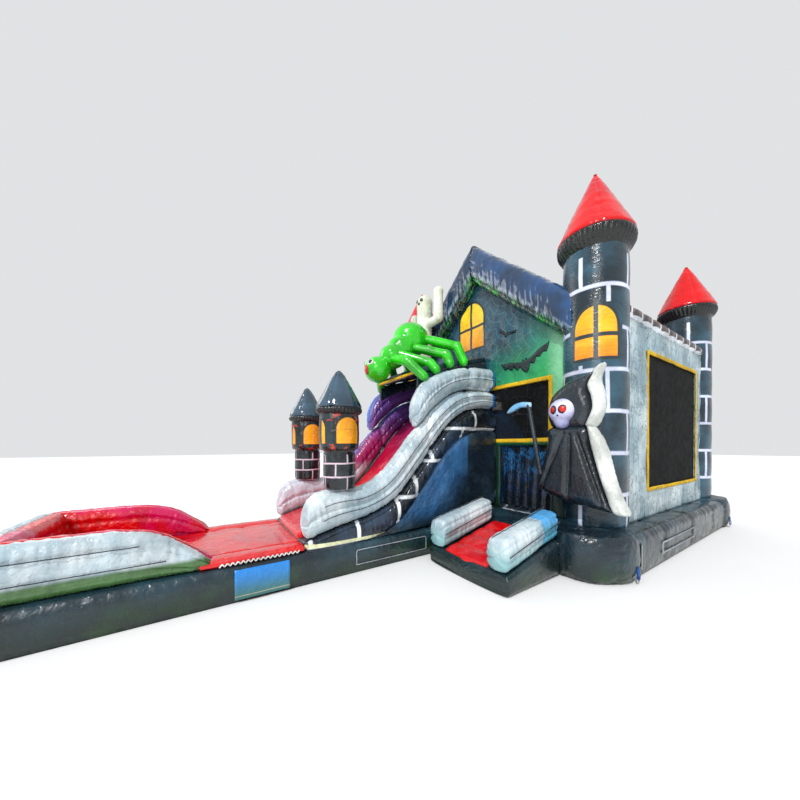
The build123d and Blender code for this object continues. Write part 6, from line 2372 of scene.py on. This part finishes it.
def paint_nodes(looks):
    """Gives CAD nodes that stay in view their materials."""
    for node, name in looks.items():
        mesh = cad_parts[node].data
        mesh.materials.clear()
        mesh.materials.append(look(name))


class BOUNCE_OT_air(PieceOperator, bpy.types.Operator):
    """Blower, air tubes, zip and anchors"""

    bl_idname = "bounce.air"
    bl_label = "Blower and anchors"

    def build(self, size):
        paint_nodes(
            {
                "blower_housing": "Blower plastic", "blower_motor": "Painted metal",
                "blower_impeller": "Painted metal", "blower_grille": "Painted metal",
                "blower_gland": "Black plastic", "blower_switch": "Black plastic",
                "zip_strip": "Black plastic", "zip_slider": "Ring steel"
            }
        )
        paint_nodes({f"anchor_ring_{name}": "Ring steel" for name in TOWERS})
        self.sleeve("inflation_sleeve", -SLEEVE_X, 2.40, 2.93, 0.102, ("inflation_tube",), 270)
        self.sleeve("spare_sleeve", SLEEVE_X, 2.40, 2.78, 0.101, ("spare_tube",), 272)
        radius = 0.1095
        loop = [
            (
                -SLEEVE_X + radius * math.cos(a), 2.89, SLEEVE_Z + radius * math.sin(a)
            ) for a in np.linspace(0, TAU, 60)
        ]
        settle(strap("sleeve_strap", loop, 0.03, 0.003), nodes=("tube_strap",))
        tabs = []
        for k, (x, y) in enumerate(CORNERS):
            tabs.append(self.tab(k, math.copysign(1, x), y))
        settle(join("anchor_webbing", *tabs), nodes=("anchor_tabs",))

    def sleeve(self, name, x, y0, y1, radius, nodes, seed):
        """A thin cloth tube with soft rings of folds."""
        ys = np.linspace(y0, y1, 60)
        angle = np.linspace(0, TAU, 72, endpoint=False)
        rings = []
        for inner in (0, 1):
            for y in ys if not inner else ys[::-1]:
                spots = np.stack([np.cos(angle), np.sin(angle), np.full(len(angle), y * 9)], -1)
                folds = rough_field(spots, 1.3, seed) * math.sin(math.pi * (y - y0) / (y1 - y0))
                radii = radius + 0.0035 * (1 - inner) + 0.004 * folds
                rings.append(
                    np.stack(
                        [x + radii * np.cos(angle), np.full(len(angle), y), SLEEVE_Z + radii * np.sin(angle)],
                        -1
                    )
                )
        rings.append(rings[0])
        piece = outward_faces(rings_mesh(name, np.array(rings), look("Night vinyl"), capped=False))
        settle(piece, nodes=nodes)

    def tab(self, k, side, y):
        """Folded webbing: down the base, round the ring's bar and back up."""
        px, pz = side * 2.503, 0.065
        line = [(side * 2.500, y, 0.19), (side * 2.503, y, 0.13), (side * 2.513, y, 0.09)]
        line += [
            (
                px + side * 0.0105 * math.cos(a), y, pz + 0.0105 * math.sin(a)
            ) for a in np.linspace(0.9, -3.6, 16)
        ]
        line += [(side * 2.494, y, 0.11), (side * 2.494, y, 0.19)]
        return strap(f"tab_{k}", line, 0.046, 0.0035)


def strap(name, line, width, thick):
    """Flat webbing along a line, its width along Y."""
    line = np.asarray(line, float)
    across = np.array([0.0, 1.0, 0.0])
    along = np.gradient(line, axis=0)
    normal = np.cross(along, across)
    normal /= np.maximum(np.linalg.norm(normal, axis=1, keepdims=True), 1e-9)
    rings = []
    for a, b in ((-0.5, -0.5), (0.5, -0.5), (0.5, 0.5), (-0.5, 0.5)):
        rings.append(line + across * width * a + normal * thick * b)
    return outward_faces(rings_mesh(name, np.stack(rings, 1), look("Blue webbing")))


class BOUNCE_OT_seams(PieceOperator, bpy.types.Operator):
    """Sewn seams and their stitches along the bolsters"""

    bl_idname = "bounce.seams"
    bl_label = "Seams"

    def build(self, size):
        bead, stitch = bead_rig(), stitch_rig()
        for kind, thread in (("dark", "Dark thread"), ("pale", "Pale thread")):
            lines = SEAMS[kind]
            piece = bead.grow(
                f"seam_tape_{kind}", line_mesh("tape", lines), Radius=0.0045, Sides=6, Pitch=0.03,
                Waver=0.004, Material=look(thread)
            )
            settle(piece)
            raised = [line + np.array([0.0, 0.0, 0.012]) for line in lines]
            row = stitch.grow(
                f"seam_stitches_{kind}", line_mesh("row", raised), Pitch=size.stitch_pitch, Length=0.011,
                Thickness=0.0035, Material=look("Pale thread" if kind == "dark" else "Dark thread")
            )
            settle(row)


class BOUNCE_OT_stage(PieceOperator, bpy.types.Operator):
    """Pale floor, soft lights and the camera"""

    bl_idname = "bounce.stage"
    bl_label = "Stage"

    def build(self, size):
        scene = bpy.context.scene
        mesh = bpy.data.meshes.new("floor_plane")
        mesh.from_pydata(
            [(-60, -60, -0.002), (60, -60, -0.002), (60, 60, -0.002), (-60, 60, -0.002)], [], [[0, 1, 2, 3]]
        )
        paint = Paint("Pale floor")
        tint = paint.blend(paint.noise(paint.place, 0.6, 2.0), (0.86, 0.86, 0.86), (0.9, 0.9, 0.9))
        mesh.materials.append(
            paint.finish(tint, rough=(0.75, 0.85), folds=0.0, crease=0.0, weave=0.0, coat=0.0, level=0.1)
        )
        floor = bpy.data.objects.new("floor_plane", mesh)
        scene.collection.objects.link(floor)
        world = bpy.data.worlds.new("Studio")
        world.use_nodes = True
        world.node_tree.nodes["Background"].inputs[0].default_value = (0.96, 0.98, 1.0, 1.0)
        world.node_tree.nodes["Background"].inputs[1].default_value = 0.78
        scene.world = world
        lights = [
            ("key", "SUN", (6, -9, 12), (44, 6, 22), 2.1, 0.03),
            ("front", "AREA", (7.5, -12, 6), None, 260, 5.0), ("left", "AREA", (-9, -9, 7), None, 160, 5.0)
        ]
        for name, kind, place, turn, power, width in lights:
            lamp = bpy.data.lights.new(name, kind)
            lamp.energy = power
            if kind == "SUN":
                lamp.angle = width
            else:
                lamp.size = width
            made = bpy.data.objects.new(name, lamp)
            made.location = place
            if turn:
                made.rotation_euler = [math.radians(a) for a in turn]
            else:
                made.rotation_euler = (
                    Vector((0, -2.5, 1.5)) - Vector(place)
                ).to_track_quat("-Z", "Y").to_euler()
            scene.collection.objects.link(made)
        camera = bpy.data.cameras.new("view")
        camera.sensor_width = 36.0
        camera.lens = 13.75
        camera.shift_x = -0.0135
        camera.shift_y = 0.060
        camera.clip_end = 200
        made = bpy.data.objects.new("view", camera)
        made.location = (3.842, -6.046, 1.5)
        made.rotation_euler = (math.radians(90) - 0.007, 0.002, 0.975)
        scene.collection.objects.link(made)
        scene.camera = made
        scene.view_settings.view_transform = "Standard"


OPERATORS = [
    BOUNCE_OT_base, BOUNCE_OT_towers, BOUNCE_OT_walls, BOUNCE_OT_front, BOUNCE_OT_gable, BOUNCE_OT_ramp,
    BOUNCE_OT_slide, BOUNCE_OT_turrets, BOUNCE_OT_pool, BOUNCE_OT_inside, BOUNCE_OT_spider, BOUNCE_OT_figures,
    BOUNCE_OT_air, BOUNCE_OT_seams, BOUNCE_OT_stage
]


class BOUNCE_PT_panel(bpy.types.Panel):
    """Sizes, colours and the pieces in building order"""

    bl_idname = "BOUNCE_PT_panel"
    bl_label = "Bounce House"
    bl_space_type = "VIEW_3D"
    bl_region_type = "UI"
    bl_category = "Bounce House"

    def draw(self, context):
        """Lists the settings and the pieces."""
        for group in (context.scene.bounce_sizes, context.scene.bounce_colours):
            box = self.layout.box()
            for name in group.__annotations__:
                box.prop(group, name)
        for operator in OPERATORS:
            self.layout.operator(operator.bl_idname)


CLASSES = [BounceSizes, BounceColours, *OPERATORS, BOUNCE_PT_panel]


def register():
    """Registers the classes and the user's settings."""
    for each in CLASSES:
        bpy.utils.register_class(each)
    bpy.types.Scene.bounce_sizes = PointerProperty(type=BounceSizes)
    bpy.types.Scene.bounce_colours = PointerProperty(type=BounceColours)


def unregister():
    """Takes them away again."""
    del bpy.types.Scene.bounce_colours
    del bpy.types.Scene.bounce_sizes
    for each in reversed(CLASSES):
        bpy.utils.unregister_class(each)


def main():
    """Builds all pieces in order."""
    register()
    for operator in OPERATORS:
        group, name = operator.bl_idname.split(".")
        getattr(getattr(bpy.ops, group), name)()


if __name__ == "__main__":
    main()
